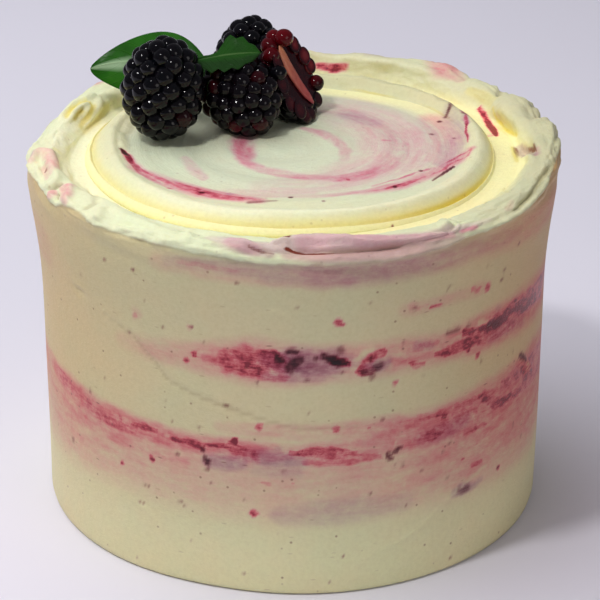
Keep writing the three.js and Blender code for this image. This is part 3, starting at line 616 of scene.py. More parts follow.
# ---- Stains ----
# A stroke of juice is a list of points: two coordinates, half width in mm
# and strength. On the side they are (angle, height), on the rim (angle, place
# across) and on the disc (x, y) in mm from its middle.
SIDE_RED = [
    # Upper band, from the left.
    [(-113.2, 78, 1.2, .85)], [(-111.6, 80.7, 1.1, 1)],
    [(-109.4, 79.8, 1.6, .5), (-106.6, 79, 2.0, .55)],
    [(-111, 82, 1.0, .3), (-105, 81.6, 1.4, .35)],
    [(-103, 80, 5.4, .72), (-100, 80.6, 6.2, .82), (-96, 80.6, 5.8, .88),
     (-92.6, 80, 4.6, .7)],
    [(-102.6, 84, .8, .95), (-101.4, 84.2, .6, .9)],
    [(-99.6, 79.4, 1.6, 1.05), (-97.4, 78.4, 2.0, 1.1)],
    [(-96, 84.6, 1.2, 1.1), (-94, 84, 1.2, 1.15), (-93.4, 82, 1.4, 1.1)],
    [(-97.6, 75.6, 1.4, .6), (-94, 75.2, 1.5, .66), (-91, 75.4, 1.2, .6)],
    [(-81.6, 81, 1.6, .9), (-78.6, 80.2, 1.2, 1.1)],
    [(-76, 77, 1.4, .9), (-75, 79, 1.7, .85), (-73.2, 81.6, 1.8, .8),
     (-70.6, 82.6, 1.4, .75)],
    [(-75.4, 76.6, 1.6, 1.05), (-73.6, 76.8, 1.4, 1.0)],
    [(-63.8, 76.6, 1.0, .7), (-62.2, 75.8, 1.4, .85), (-60.6, 75.6, .9, .7)],
    [(-64, 81.4, 2.2, .4), (-58, 82.2, 2.0, .5)],
    [(-57.5, 77.6, 1.4, .7), (-54.6, 77.8, 2.2, .9), (-50, 78.4, 2.6, .78),
     (-46, 78.6, 3.2, .8), (-40, 77.6, 3.2, .72), (-32, 77, 3.0, .6)],
    [(-55.6, 77.4, 1.1, 1.05)],
    [(-50.4, 82.6, 1.2, .9), (-47, 81.4, 1.8, 1.05), (-44, 80.6, 2.2, 1.1),
     (-40, 80.8, 2.8, 1.2), (-36.5, 80.8, 2.6, 1.15), (-33, 82.4, 2.4, 1.0),
     (-28, 81.4, 2.4, .95), (-22, 80, 2.2, .9), (-12, 78.6, 2.4, .8),
     (0, 79, 2.6, .6), (12, 82, 2.0, .3)],
    [(-50.2, 76.8, 1.0, 1.1), (-48.6, 75.8, 1.0, 1.25)],
    [(-45.2, 76.4, .9, 1.1)],
    [(-30, 78.8, 1.4, 1.0), (-24, 77.8, 1.6, .95), (-14, 76, 1.6, .85)],
    [(-26, 83.6, 1.0, .8), (-18, 82.4, 1.4, .8)],
    [(-38, 81.6, 2.2, .6), (-30, 81.4, 3.4, .78), (-22, 80.6, 3.8, .8),
     (-10, 79.6, 4.2, .8), (4, 79, 3.6, .5), (16, 79.6, 2.4, .3)],
    # Lower band, from the left.
    [(-158, 53.2, 2.2, .5), (-154, 52.4, 2.8, .72), (-148, 51.4, 2.6, .62)],
    [(-143, 50, 2.4, .6), (-138, 48.8, 2.6, .7), (-132, 48.4, 2.4, .72),
     (-127, 48.6, 2.0, .55)],
    [(-131.6, 51.4, 1.0, .8)],
    [(-127.4, 50.6, 1.4, .8), (-124, 51.2, 1.7, 1.0), (-121.4, 51.2, 1.2, .8)],
    [(-116.4, 50, 1.8, .75), (-112, 50, 2.0, .85), (-109.6, 49.6, 1.6, .9)],
    [(-108.6, 50.2, 1.0, .95), (-105.6, 50.4, 1.3, 1.0), (-104, 50.2, .8, 1.1)],
    [(-104.4, 51.8, .6, .8), (-102.4, 53, .9, 1.15), (-101.8, 52, .7, 1.0)],
    [(-103, 50, 2.6, .7), (-99, 49.4, 2.4, .72), (-97.6, 47.4, 1.6, .6)],
    [(-90.6, 50.2, .7, .9), (-88, 50.2, .9, 1.05)],
    [(-87, 50.4, 1.9, .74), (-82, 50.2, 2.0, .9), (-78.6, 49.4, 1.8, .9),
     (-76.2, 48.8, 1.0, .7)],
    [(-86.6, 46.8, 1.8, .5), (-80, 46.8, 2.0, .55), (-71, 47.2, 1.8, .5)],
    [(-67, 56.6, 2.0, .45), (-58, 57.2, 2.0, .6), (-50, 57, 2.4, .62),
     (-42, 57.4, 2.4, .7)],
    [(-57, 56.8, .7, .9), (-55, 55.4, 1.2, 1.0)],
    [(-62, 50.8, 2.2, .6), (-58, 50.2, 2.8, .75), (-53, 53, 3.0, .68),
     (-46, 53.4, 3.2, .7)],
    [(-44.2, 57.6, 1.2, 1.05)],
    [(-43, 56, 2.0, .8), (-40, 53.6, 2.4, .85), (-35, 51.2, 2.2, .88),
     (-28, 50.4, 2.4, .8), (-18, 50, 3.0, .7), (0, 51, 4, .5), (18, 50, 3, .3)],
    [(-36, 57.4, 2.6, .72), (-27, 57.6, 3.0, .78), (-16, 56.6, 3.4, .7),
     (0, 55, 3.4, .5)],
    [(-26, 53.6, 1.6, .85), (-20, 52.6, 1.8, .8)],
    [(-49, 46.4, 1.3, .6), (-46, 46.8, 1.6, .75), (-42, 47, 1.4, .7)],
    [(-48.6, 38.2, .9, .8)], [(-46, 34.6, 1.5, .55), (-43, 34, 1.6, .6)],
    [(-44.2, 41, .8, .6)], [(-36, 28.2, 1.1, .95)],
    # Dabs beside the bands.
    [(-97, 58.2, 1.3, .75)], [(-80.4, 57.8, 1.4, .85)], [(-73.4, 57.2, .9, .7)],
    [(-80.6, 94.5, 1.4, .9), (-79.8, 93.4, .8, .8)],
    [(-59.6, 94.6, .8, .75), (-57.4, 94.4, .8, .6)],
    [(-49, 96.4, .9, .6), (-47, 95.4, 1.2, .6)], [(-43.8, 95.2, 1.5, .8)],
    [(-65, 96, 1.6, .35), (-61, 95.4, 1.4, .35)],
    [(-67.3, 71.4, .9, .85)], [(-45.8, 72.4, 1.0, .85)],
    [(-122.7, 40.4, 1.3, .95), (-123, 41.4, .7, .8)],
    [(-131, 35.5, 1.1, 1.05)], [(-98.3, 28.4, 1.2, .95)],
    [(-96.4, 39.4, 1.0, .45), (-94.6, 39.2, .7, .4)], [(-90, 39.4, .9, .4)],
    [(-125.6, 89, 1.2, .4)], [(-112, 90, 1.0, .35)],
    [(-114, 112, 1.0, .25), (-108, 111.4, 1.2, .3), (-101, 111, .8, .25)],
    # The hidden half of the side.
    [(28, 84, 3, .5), (40, 85, 5, .85), (52, 83, 4, .8), (60, 82, 1.5, .4)],
    [(72, 79, 2, .5), (90, 78, 5, .8), (112, 80, 4.6, .9), (126, 82, 2, .4)],
    [(30, 48, 2.4, .5), (60, 50, 3.2, .7), (92, 49, 3, .8), (110, 48, 1.6, .5)],
    [(122, 52, 3, .5), (150, 54, 4, .75), (176, 54, 3, .5), (194, 54, 2, .3)],
    [(140, 84, 1.4, .6)], [(150, 36, 1.2, .8)], [(48, 30, 1.2, .8)],
    [(84, 64, 1.0, .7)], [(101, 95, 1.2, .7)], [(170, 92, 1.2, .6)],
]
SIDE_DARK = [
    [(-90.8, 84.7, .8, .9), (-89.2, 84.5, .8, .9)],
    [(-91, 78.6, 1.2, .7), (-89.8, 80.6, 1.5, .8), (-88.4, 81.6, 1.0, .7)],
    [(-93.2, 82.6, .9, .7), (-92.2, 81.6, .8, .7)], [(-90.4, 77.6, .9, .5)],
    [(-85.2, 82, .9, .65)],
    [(-83.6, 83, .8, .8), (-82, 81.6, 1.4, 1.05), (-80.4, 80.4, 1.4, 1.05),
     (-78.6, 80.2, .7, .7)],
    [(-80, 84.4, 1.3, .35)], [(-79.5, 77, .6, .4)], [(-87, 74.6, .8, .35)],
    [(-74.6, 76.4, 1.0, .85), (-73.2, 76.6, 1.2, .7), (-71.6, 78.4, 1.4, .5)],
    [(-73.6, 80.8, .6, .85)], [(-73, 74.4, 1.0, .4)],
    [(-54.8, 84, .8, .45), (-52, 84, .8, .45)], [(-49, 84, .8, .4)],
    [(-42.4, 81, 1.2, .45), (-38, 79.8, 1.6, .25)], [(-31.6, 83.8, 1.0, .3)],
    [(-109.8, 48.6, .8, .8)],
    [(-109.5, 46.6, .5, .5), (-108.9, 44.8, 1.0, .9), (-108.4, 43.4, .6, .5)],
    [(-109.2, 41.6, .5, .45)], [(-116, 45, .7, .5)],
    [(-68.9, 47.2, .7, .8), (-68.5, 45.8, .8, .9), (-67.6, 44.8, .6, .5)],
    [(-67.6, 47.3, .5, .8), (-66.6, 47.9, .7, .95), (-65.6, 48.6, .4, .6)],
    [(-28.6, 63.4, .9, .7), (-26.6, 61.6, 1.0, .8), (-25.6, 60, .7, .6)],
    [(-49.6, 28.2, .8, .65)], [(-50, 26.8, 1.0, .4), (-47, 26.8, 1.4, .35)],
    [(-36, 28.2, .7, .5)],
    [(44, 86, 2.0, .8)], [(104, 79, 2.2, .8)], [(84, 48, 1.4, .7)],
]
SIDE_LILAC = [
    [(-95, 81.6, 3.0, .5), (-90.6, 80.6, 4.8, .95), (-86, 80, 4.8, .75),
     (-81, 80.4, 4.2, .6), (-78, 80.6, 2.4, .3)],
    [(-96, 76, 1.8, .3), (-90, 76.2, 2.2, .5), (-84, 76, 2.0, .3)],
    [(-74, 78, 1.8, .7), (-72, 78.4, 2.4, .8), (-69.8, 78.6, 2.0, .5)],
    [(-62.4, 82.4, 1.8, .35), (-59.6, 81.6, 1.6, .35)],
    [(-41, 75.8, 2.2, .25), (-34, 76.6, 2.4, .3), (-27, 74.8, 2.0, .25)],
    [(-39, 85, 1.4, .3)],
    [(-108.6, 44.8, 2.0, .5), (-104.4, 45, 2.8, .6), (-101, 45.6, 2.4, .5)],
    [(-99, 48.4, 2.4, .35), (-96.6, 48, 3.0, .6), (-91, 47.4, 2.8, .55),
     (-87.6, 47, 2.0, .4)],
    [(-98, 43.6, 2.0, .25), (-89, 43.4, 2.0, .25)], [(-92.6, 51, 1.0, .35)],
    # A painted mauve shade under the lip's overhang.
    [(-116, 112, 2, .2), (-100, 112, 3, .32), (-84, 111, 4.5, .42),
     (-66, 111, 4.5, .38), (-52, 111, 4, .22), (-36, 110, 3, .1)],
    [(-92, 28.5, 3.8, .25), (-82, 29, 4.6, .35), (-64, 29.5, 3.4, .2)],
    [(-51.4, 27, 1.2, .7), (-48.6, 27.4, 2.2, .85), (-45, 26.6, 1.6, .55),
     (-42.6, 27, 1.0, .35)],
    [(-61, 49.8, 2.4, .2), (-54, 50, 3.0, .35), (-49, 51.6, 2.6, .3)],
    [(36, 84, 3, .6)], [(98, 77, 4, .7)], [(140, 29, 3, .5), (120, 28, 3, .4)],
]
SIDE_PINK = [
    [(-130, 79, 3, .15), (-122, 79, 4, .35), (-114, 79.4, 4.4, .5),
     (-106, 80, 6, .75), (-98, 80.6, 7.4, .9), (-88, 80, 6.4, .7),
     (-76, 80, 5.6, .55), (-66, 80, 5.6, .62), (-56, 79.6, 5.4, .75),
     (-44, 79.6, 6.4, 1.0), (-30, 79, 7.4, 1.0), (-8, 78, 8, .9),
     (14, 79, 6, .5), (24, 80, 4.4, .42), (36, 82, 6, .5)],
    [(-68, 79, 1.6, .75), (-61, 78, 1.8, .8)],
    [(-172, 40, 14, .5), (-152, 40, 13, .62), (-128, 40, 11, .58),
     (-104, 38, 11, .42), (-84, 37, 11, .45), (-66, 39, 12, .58),
     (-46, 40, 14, .8), (-15, 40, 14, .92), (15, 40, 12, .5),
     (30, 42, 8, .45)],
    [(-168, 53.6, 2.6, .5), (-160, 53, 3.4, .85), (-150, 51.4, 4.4, 1.0),
     (-138, 49.8, 4.6, 1.05), (-124, 49.6, 4.2, 1.0), (-112, 49.6, 3.8, .9),
     (-100, 49.6, 4.2, .95), (-90, 50, 3.0, .7), (-76, 50.6, 4.6, .72),
     (-64, 52, 7, .9), (-46, 53, 8, 1.08), (-20, 54, 9, 1.1), (10, 52, 8, .7),
     (26, 49, 5.4, .55), (44, 48, 6, .6)],
    [(-152, 44.6, 2.4, .6), (-141, 44, 3.0, .85), (-128, 43.6, 3.0, .82),
     (-114, 43.4, 2.4, .6)],
    [(-106, 57, 2.0, .2), (-96, 57, 2.6, .45), (-80, 57, 2.8, .55),
     (-66, 57, 3.4, .75)],
    [(-60, 42.6, 2.2, .6), (-50, 40, 3.2, .75), (-44, 37.6, 3.6, .85)],
    # A painted mauve shade under the lip's overhang.
    [(-118, 111, 3, .25), (-84, 110, 4, .42), (-50, 110, 4, .36),
     (-12, 107, 6, .4)],
    [(-66, 95.6, 2.4, .3), (-46, 95.6, 2.4, .35)], [(-125, 90, 2.0, .25)],
    [(-176, 94, 8, .25), (-160, 96, 8, .2)],
    [(26, 82, 7, .7), (60, 82, 6, .6), (108, 80, 7, .7), (130, 82, 4, .4)],
    [(22, 44, 7, .6), (60, 48, 6, .7), (104, 46, 6, .7), (150, 50, 8, .7),
     (192, 52, 5, .6)],
    [(30, 31, 5, .4), (90, 30, 5, .5), (150, 32, 6, .4)],
]
# Spots inside the bands left without juice: most are unstained icing, while those on the
# raised lobe's upper edge and on the raised flake are painted glints.
SIDE_CLEAN_AND_GLINTS = [
    [(-76.8, 80.6, .7, .6), (-75.2, 83, .9, .85), (-73, 84, .8, .7)],
    [(-77, 78, 1.0, .5)], [(-66.5, 80.6, 1.2, .4), (-65, 79.2, .8, .4)],
    [(-45.6, 83.4, 1.1, .7), (-43.4, 83, 1.1, .6)],
    [(-25, 58.6, .6, .9), (-23.4, 57.2, .6, .8)],
    [(-24.2, 55.8, .5, .8), (-21.8, 54.6, .5, .7)],
    [(-67, 50.4, .6, .6)], [(-118.4, 50.6, .9, .5)], [(-101, 47, .5, .4)],
    [(-53, 26, .7, .5), (-46.6, 29.6, .6, .6), (-41, 31.8, .8, .6)],
    [(-64.6, 35.2, .7, .5)],
]
# Pale lines, most along the raised ridges that a spatula left on the side, and painted
# shade along the crease that its edge left.
PALE_LINES = [
    [(-83, 3, .5, .7), (-73, 12.5, .6, .8), (-65, 16, .5, .7),
     (-60, 19, .5, .6), (-55, 25, .5, .5), (-48, 28.5, .6, .5)],
    [(-126, 24, .7, .8), (-123.4, 21.6, .5, .5), (-121, 19, .5, .6)],
    [(-124.6, 23.2, .9, .8)], [(-133, 18.4, .7, .5), (-128, 17.8, .6, .4)],
    [(-95, 98.5, .5, .4), (-92, 98, .5, .4)], [(-68.6, 27, .6, .5)],
    [(-135, 86.6, .5, .5), (-132, 84.6, .5, .4)],
]
CREASE_SHADE_LINES = [
    [(-135, 86, .5, .5), (-127, 82, .5, .5), (-121, 75, .5, .6),
     (-118, 70, .5, .6), (-112, 67, .5, .6), (-104, 64, .6, .8),
     (-96, 61, .5, .6), (-90, 58.6, .6, .6), (-76, 58.2, .6, .3)],
    [(-104.8, 64.6, .7, 1), (-102.6, 64, .5, .9)],
]
# Specks on the side: angle, height, half width in mm, strength.
SPECKS = [
    (-132.4, 105.4, .8, .55), (-124.6, 105.2, .8, .6), (-101.3, 107.4, .6, .6),
    (-141.5, 95.5, .8, .3), (-118.5, 88, .7, .5), (-122.5, 95, .6, .35),
    (-127.5, 82.0, .6, .5), (-136, 62.5, .7, .5), (-118.7, 63, .5, .5),
    (-104.4, 64.8, 1.0, .6), (-126, 24.3, .8, .6), (-115.6, 28.4, .7, .6),
    (-124.5, 31, .8, .4), (-93, 21.6, .5, .5), (-78.6, 13.2, .6, .5),
    (-81.4, 4.8, .6, .5), (-100.7, 6.5, .5, .4), (-51.4, 4, .8, .5),
    (-34, 105.2, .8, .7), (-56, 99.6, .7, .4), (-44.8, 103, .7, .4),
    (-74, 99.8, .8, .3), (-89.2, 99.8, .6, .3), (-38.5, 98.2, .9, .6),
    (-39.2, 94.8, .8, .6), (-63.8, 95.5, 1.2, .4), (-103, 33.5, .5, .4),
    (-72.6, 34.4, .6, .6), (-67, 42.6, .7, .6), (-60.3, 38.8, .6, .4),
    (-54.8, 42.8, .7, .5), (-30, 40.2, .6, .5), (-116, 45.4, .7, .6),
    (-108.6, 41.8, .6, .6), (-86.6, 63.6, .5, .3), (-32, 67, .7, .3),
    (-64, 27.6, .6, .5), (-113, 15.8, .5, .4), (-127.4, 4, .6, .4),
    (-127.6, 82.4, .8, .5), (-111.6, 90.2, .8, .45), (-109, 85, .7, .45),
    (-97.6, 73, .7, .6), (-66, 84.2, .8, .35), (-125, 24.6, .8, .55),
    (-115, 29, .7, .6), (-114.4, 27.4, .6, .45), (-123.6, 31, .7, .5),
    (-110.6, 55.6, .8, .45), (-141.4, 55.6, .8, .5), (-117, 56.2, .7, .35),
    (-108, 37.4, .7, .35), (-100.4, 32.6, .6, .35), (-70.2, 59.6, .7, .6),
    (-65.2, 42.4, .8, .5), (-72.6, 34.4, .7, .5), (-64, 27.4, .7, .55),
    (-53, 45.4, .9, .5), (-91.8, 43.4, .8, .35), (-53.2, 33.4, .8, .35),
    (-25, 32.6, .9, .4), (-30, 39.8, .8, .4), (-29.6, 62, .6, .3),
    (-38.6, 98.2, .8, .5), (-39, 95.4, .9, .6), (-55.4, 100, .7, .35),
    (-44.4, 70, .8, .4), (-60.8, 71.2, .8, .35), (-150, 33, 1.1, .55),
    (20, 66, .8, .6), (35, 100, .7, .5), (66, 92, .8, .5), (78, 20, .7, .5),
    (97, 58, .8, .6), (121, 98, .7, .4), (133, 66, .9, .6), (146, 14, .7, .5),
    (158, 76, .8, .5), (165, 24, .7, .5), (110, 34, .7, .5), (50, 12, .7, .5),
]
RIM_PINK = [
    [(-174, 9, 1.6, .35), (-171, 11, 1.8, .45), (-166, 11.6, 1.9, .5),
     (-161, 10.6, 1.7, .48), (-158.6, 9.6, 1.2, .35)],
    [(-173, 9.6, 1.2, .4), (-170.6, 7.4, 1.2, .45), (-169, 5, 1.2, .3)],
    [(-164, 9, 1.6, .5), (-160.6, 8.8, 1.4, .5), (-158.4, 7.4, 1.0, .3)],
    [(-152.4, 10, 1.4, .45), (-150.2, 9.4, 2.2, .65), (-147.6, 7.6, 2.2, .55),
     (-145.6, 5, 1.6, .45), (-145, 3.4, 1.0, .35)],
    [(-152.4, 5.6, 1.4, .7), (-151.6, 3.2, 1.4, .55)],
    [(-164, 0, 2.4, .8), (-168, -3, 2.6, .8)],
    [(46, 10, 2.4, .35), (51, 9, 4.4, .75), (55, 5.6, 4.4, .8),
     (58, 3.4, 2.4, .55)],
    [(-103, 7.6, 2.0, .3), (-98, 5.4, 2.0, .35)],
    [(-88, 10.4, 2.6, .25), (-78, 9.4, 2.6, .3), (-66, 6.6, 2.4, .3),
     (-56, 4.6, 1.6, .35)],
    [(-90, 4, 1.6, .1), (-78, 3.4, 2.0, .15), (-64, 3.0, 2.0, .15)],
    [(-53, 4.4, 1.0, .6), (-49.6, 4.2, 1.0, .6)],
    [(-8, 12.6, 1.0, .3), (-3, 12.4, 1.0, .4)],
    [(-3, -2, 3, .5), (4, -3, 3, .6)], [(-38, 6, 1.4, .25), (-35, 8, 1, .2)],
    [(140, 5, 2.4, .6), (143, 6, 1.8, .7)],
    [(100, 6, 3, .5), (112, 8, 3, .5)],
]
RIM_LILAC = [
    [(-174, 8, 1.4, .3), (-171, 6, 1.2, .3)],
    [(-7, 12.8, 1.4, .4), (-2, 14.6, 1.9, .7), (3, 17.6, 1.8, .7),
     (8, 19, 1.2, .5)],
    [(66, 9, 1.6, .3), (72, 9.6, 2.2, .45), (76, 9, 1.4, .3)],
]
# Brown: jam smeared in a hollow at the right, and painted shade in the notch under the
# front flap, in the flap's creases and in the hollows of the left loops.
RIM_JAM_AND_SHADE = [
    [(-91.2, 7.4, .9, .9), (-88.4, 6.6, 1.5, 1.1), (-85.6, 5.8, 1.2, 1.0),
     (-82.6, 5.4, .7, .6), (-76, 5.0, .6, .2)],
    [(-92.8, 11.6, .7, .8), (-91, 11.4, .8, .9)],
    [(-99.2, 6.4, .5, .6), (-96.6, 4.8, .6, .7), (-94, 4.2, .4, .5)],
    [(-162.6, 8.9, .9, .6), (-161, 8.8, .6, .5)],
    [(-151, 6.2, .9, .45), (-149.8, 4.8, 1.0, .55), (-149.2, 3, .7, .4)],
    [(-4, 12.7, .5, .7), (-1, 13.6, .7, .75), (3.6, 16.4, .6, .6)],
    [(1.6, 20.2, .6, .35), (4.4, 20.2, .9, .55), (8, 19.8, .7, .6)],
]
RIM_RED = [
    [(77, 15.4, .9, .9), (80, 16.2, 1.0, 1.1), (84.5, 15.4, .8, .9)],
    [(17, 23.2, .7, 1.1), (22, 22.0, 1.1, 1.35), (27, 20.2, 1.2, 1.35),
     (30.6, 18.2, .9, 1.3), (34, 16.8, .5, 1.1)],
]
# Creases of the rim in a painted deep yellow shade.
RIM_CREASE_SHADE = [
    [(166, 12.4, .7, .8), (160, 11.6, .8, 1), (155, 12.6, .8, 1),
     (154.4, 14.6, .8, 1), (160, 16.4, .8, .9), (166, 17, .7, .6)],
    [(165, 14.6, .6, .8), (159, 14.2, .7, 1)],
    [(149, 17, 1.4, .5), (157, 19.4, 1.4, .6), (166, 19.4, 1.2, .4)],
    [(11.6, 16.8, .4, .7), (16, 17.8, .55, 1), (20, 18.3, .55, 1),
     (24.6, 17.6, .6, 1), (27, 15.6, .5, .5)],
    [(16, 16.6, .9, .4), (23, 16, 1.0, .35)],
    [(-2, 20.2, .8, .6), (3, 20.9, .8, .8), (8, 20.6, .8, .6)],
    [(30, 14, 2.0, .3), (40, 14, 1.6, .4)], [(-174, 14, 1.6, .35)],
]
# Mauve flap at the front: its lit ridge and its shaded lower side.
RIM_MAUVE = [
    [(-108, 9, 1.4, .5), (-104, 8.6, 2.2, .9), (-99, 6.4, 2.6, 1),
     (-94, 7.4, 2.8, 1), (-89, 9.4, 3.6, 1), (-80, 9.0, 3.6, 1),
     (-70, 7.6, 3.0, 1), (-60, 6.4, 2.4, .9), (-51, 5.6, 1.8, .7),
     (-45, 5.2, 1.2, .3)],
]
RIM_MAUVE_SHADE = [
    [(-106, 6.4, 1.2, .3), (-100, 5.2, 1.8, .7), (-95, 4.4, 1.8, .8)],
    [(-91, 4.2, 2.2, .8), (-84, 3.6, 3.0, 1), (-72, 3.0, 3.0, 1),
     (-62, 2.6, 2.8, .9), (-54, 2.2, 1.6, .6)],
]
# Shaded hollows of the rim.
RIM_DULL = [
    [(-37, 3.6, .6, .5), (-30, 5.0, .9, .7), (-24, 6.6, 1.1, .8),
     (-20, 7.4, 1.2, .8), (-15, 6.6, .9, .7), (-9, 6.2, .7, .6)],
    [(-31, 12, .5, .3), (-28, 15.5, .5, .35), (-22, 19.6, .5, .3)],
    [(-151, 20, .5, .3), (-147, 15.4, .6, .35), (-142, 12, .6, .35),
     (-139, 10.2, .7, .4), (-139.4, 6, .7, .5)],
    [(-153.4, 10.4, .5, .7), (-153.2, 7.5, .5, .8), (-153.8, 4.6, .5, .6)],
    [(-172.4, 13, .9, .5), (-164, 12.8, .7, .4)],
    [(0, 7, .7, .4), (6, 4, .7, .4), (9, .5, .6, .3)],
    [(20, 8.4, .8, .35), (22.6, 5, .8, .3)],
    [(31, 11, 1, .35), (34, 7, 1, .4), (37, 3.4, 1, .3)],
]
DISC_RED = [
    [(-52.4, -8.4, .8, .9), (-51.5, -11, 1.5, 1), (-50, -16, 1.6, 1),
     (-48.2, -21, 1.6, .8), (-46.4, -25, 2.4, .62), (-40.5, -30.2, 2.6, .6),
     (-34.3, -35, 2.8, .62), (-27, -40.2, 2.8, .75), (-20, -43.4, 2.4, .7),
     (-13, -45.4, 1.8, .8), (-9.3, -46, 1.2, .5)],
    [(-26.6, -40.8, 1.8, 1)], [(-36.5, -38, 1.0, .9)],
    [(57.5, -4, .5, .45), (56, -9, .6, .6), (52, -13, .7, .6),
     (48, -20, .8, .6), (41, -27.4, .7, .45), (33.5, -34.2, 1.3, .85),
     (27, -38.2, .9, .5), (18, -40.6, .8, .35)],
    [(57, -4, .45, .6), (53.4, -8, .5, .65), (49.6, -14, .5, .55)],
    [(45, -19, .7, .4), (36, -27, .7, .5), (26, -34, .7, .45)],
    [(57, 24.5, .5, .9), (56.8, 14, .45, .9), (56.6, 3, .4, .7)],
    [(56, 24.8, 1.1, .6)],
    [(18.3, -29.8, 1.0, .8)], [(36.3, -.5, .9, .8)], [(26.6, -50.6, .9, .6)],
    [(32, 3.2, 1.0, .4), (29.6, 3.4, .8, .5)],
    [(8, -27.8, 1.2, .35), (18, -28.4, 1.6, .5), (26, -23.4, 1.4, .45)],
]
DISC_DARK = [
    [(-53, -8, .6, 1), (-51.6, -11.4, 1.0, .8)], [(-26.6, -40.6, .9, .8)],
    [(51.5, -17.5, .5, .6), (48.6, -22, .6, .85), (44.4, -29, .35, .7)],
    [(53, 34.5, .5, .6), (52.2, 29, .6, .7), (50.4, 24.6, .5, .5)],
    [(48.6, 21.6, .8, .7)], [(.6, -43.4, .7, .9)], [(56.3, 23.4, .7, .7)],
    [(45.6, 9.4, .8, .5)], [(41, -22, .7, .6)], [(10.6, -47, .6, .6)],
    [(31.4, -57.6, .45, .6)], [(52.6, 7, .5, .4)], [(32.6, -35.2, .7, .8)],
    [(-4, -46.8, .8, .3), (-12, -48.2, .9, .3)],
]
DISC_PINK = [
    [(-13, 8, 3.4, .7), (-15.5, 1, 4, .95), (-14.5, -8, 3.6, .95),
     (-13.4, -16, 2.6, .8), (-9, -22, 2, .6), (5.8, -28, 3, .7),
     (16, -29, 3.4, .9), (24, -25, 3.2, .85), (31, -18, 3, .7),
     (36, -8, 3, .7), (36.2, 1, 3, .7), (32.5, 11, 3.6, .6),
     (26, 20, 4.6, .6), (19, 29, 5, .5)],
    [(4.4, 12.6, 1.6, .6), (9, 10, 2.4, .7), (14, 4, 2.4, .6),
     (17.6, -5.5, 2, .5), (17, -13, 2, .3)],
    [(57, -4, 2.0, .55), (52, -13, 2.6, .65), (45, -23, 2.6, .65),
     (34, -34, 2.8, .75), (24, -39, 2.2, .6), (8, -42.4, 1.6, .35),
     (-8, -42.6, 1.4, .3)],
    [(-32.6, -13, 1.8, .4), (-30, -22, 2, .4), (-26.6, -29, 1.6, .4)],
    [(-51, -12, 2, .6), (-47, -24, 3, .8), (-36, -34, 3.8, .85),
     (-26, -40.6, 4, .9), (-9, -46, 2.6, .7)],
    [(-20, -40, 3, .3), (-8, -40, 3, .35), (6, -38, 4, .3)],
    [(20, 30, 12, .35), (34, 10, 13, .5), (34, -12, 12, .5),
     (14, -30, 8, .4), (-6, -36, 6, .2)],
    [(46, 22, 6, .5), (49, 8, 7, .55), (46, -10, 7, .5)],
]
DISC_LILAC = [
    [(52, 30, 2, .3), (52.6, 20, 4, .4), (54, 8, 3.4, .4), (51, -6, 3, .3),
     (48, -16, 2.4, .25)],
    [(20, 26, 4.5, .25), (26, 20, 4, .2)],
    [(56, 26, 1.4, .6), (57, 16, .8, .6)],
    [(-18, -41, 1.2, .3)],
]


def stroke(x, y, points):
    """Strength at (x, y) of one soft stroke."""
    d, t = path_distance(x, y, points)
    lengths = np.cumsum([0] + [math.dist(p[:2], q[:2])
                               for p, q in zip(points, points[1:])])
    at = lengths / lengths[-1]
    half = np.interp(t, at, [p[2] for p in points])
    power = np.interp(t, at, [p[3] for p in points])
    return power * (1 - smooth(d / half - 0.45))


def strokes(x, y, table):
    """The strongest of a table's strokes. One point alone is a dab."""
    out = np.zeros(np.shape(x))
    for points in table:
        if len(points) == 1:
            px, py, *rest = points[0]
            points = [(px - 0.01, py, *rest), (px + 0.01, py, *rest)]
        out = np.maximum(out, stroke(x, y, points))
    return out


def strokes_around(at, up, table, width):
    """Strokes on a surface that closes on itself, at mm along and across it,
    with width mm for each degree."""
    table = [stretched(points, width) for points in table]
    lap = 360 * width
    laps = [strokes(at + shift, up, table) for shift in (0, lap, -lap)]
    return np.maximum.reduce(laps)


def side_stains(a, z):
    """Strength of each kind of juice on the side, with ragged edges."""
    x, y = circle(a, SIDE_AROUND)
    wander = dict(octaves=3, rough=0.6)
    along = turn(a, 0) * SIDE_MM
    far = (along + 1.5 * noise(x / 5, y / 5, z / 3.2, seed=61, **wander),
           z + 0.9 * noise(x / 6, y / 6, z / 4.5, seed=62, **wander))
    near = (along + 0.4 * noise(x / 2, y / 2, z / 1.6, seed=64, octaves=2),
            z + 0.4 * noise(x / 2, y / 2, z / 1.6, seed=63, octaves=2))
    red = strokes_around(*far, SIDE_RED, SIDE_MM)
    dark = strokes_around(*near, SIDE_DARK, SIDE_MM)
    lilac = strokes_around(*far, SIDE_LILAC, SIDE_MM)
    pink = strokes_around(*far, SIDE_PINK, SIDE_MM)
    # Juice is left out at unstained spots and at painted glints.
    clean_and_glints = 1 - strokes_around(*near, SIDE_CLEAN_AND_GLINTS, SIDE_MM)
    # The upper band is richest at the front right, the haze thin low down.
    red = red * (1 + 0.14 * around(a, -32, 24) * bump(z - 82, 13))
    pink = pink * (1 - 0.28 * bump(z - 31, 10))
    dark = dark * clean_and_glints
    for speck_a, speck_z, half, strength in SPECKS:
        d = np.hypot(turn(a, speck_a) * SIDE_MM, near[1] - speck_z)
        speck = 1 - smooth((d / half - 0.3) / 0.9)
        dark = np.maximum(dark, 0.7 * strength * speck)
    return dict(juice=red * clean_and_glints, dark=dark, lilac=lilac * clean_and_glints,
                haze=pink * clean_and_glints, jam_and_shade=0 * a)


def side_lines(a, z, table):
    return strokes_around(turn(a, 0) * SIDE_MM, z, table, SIDE_MM)


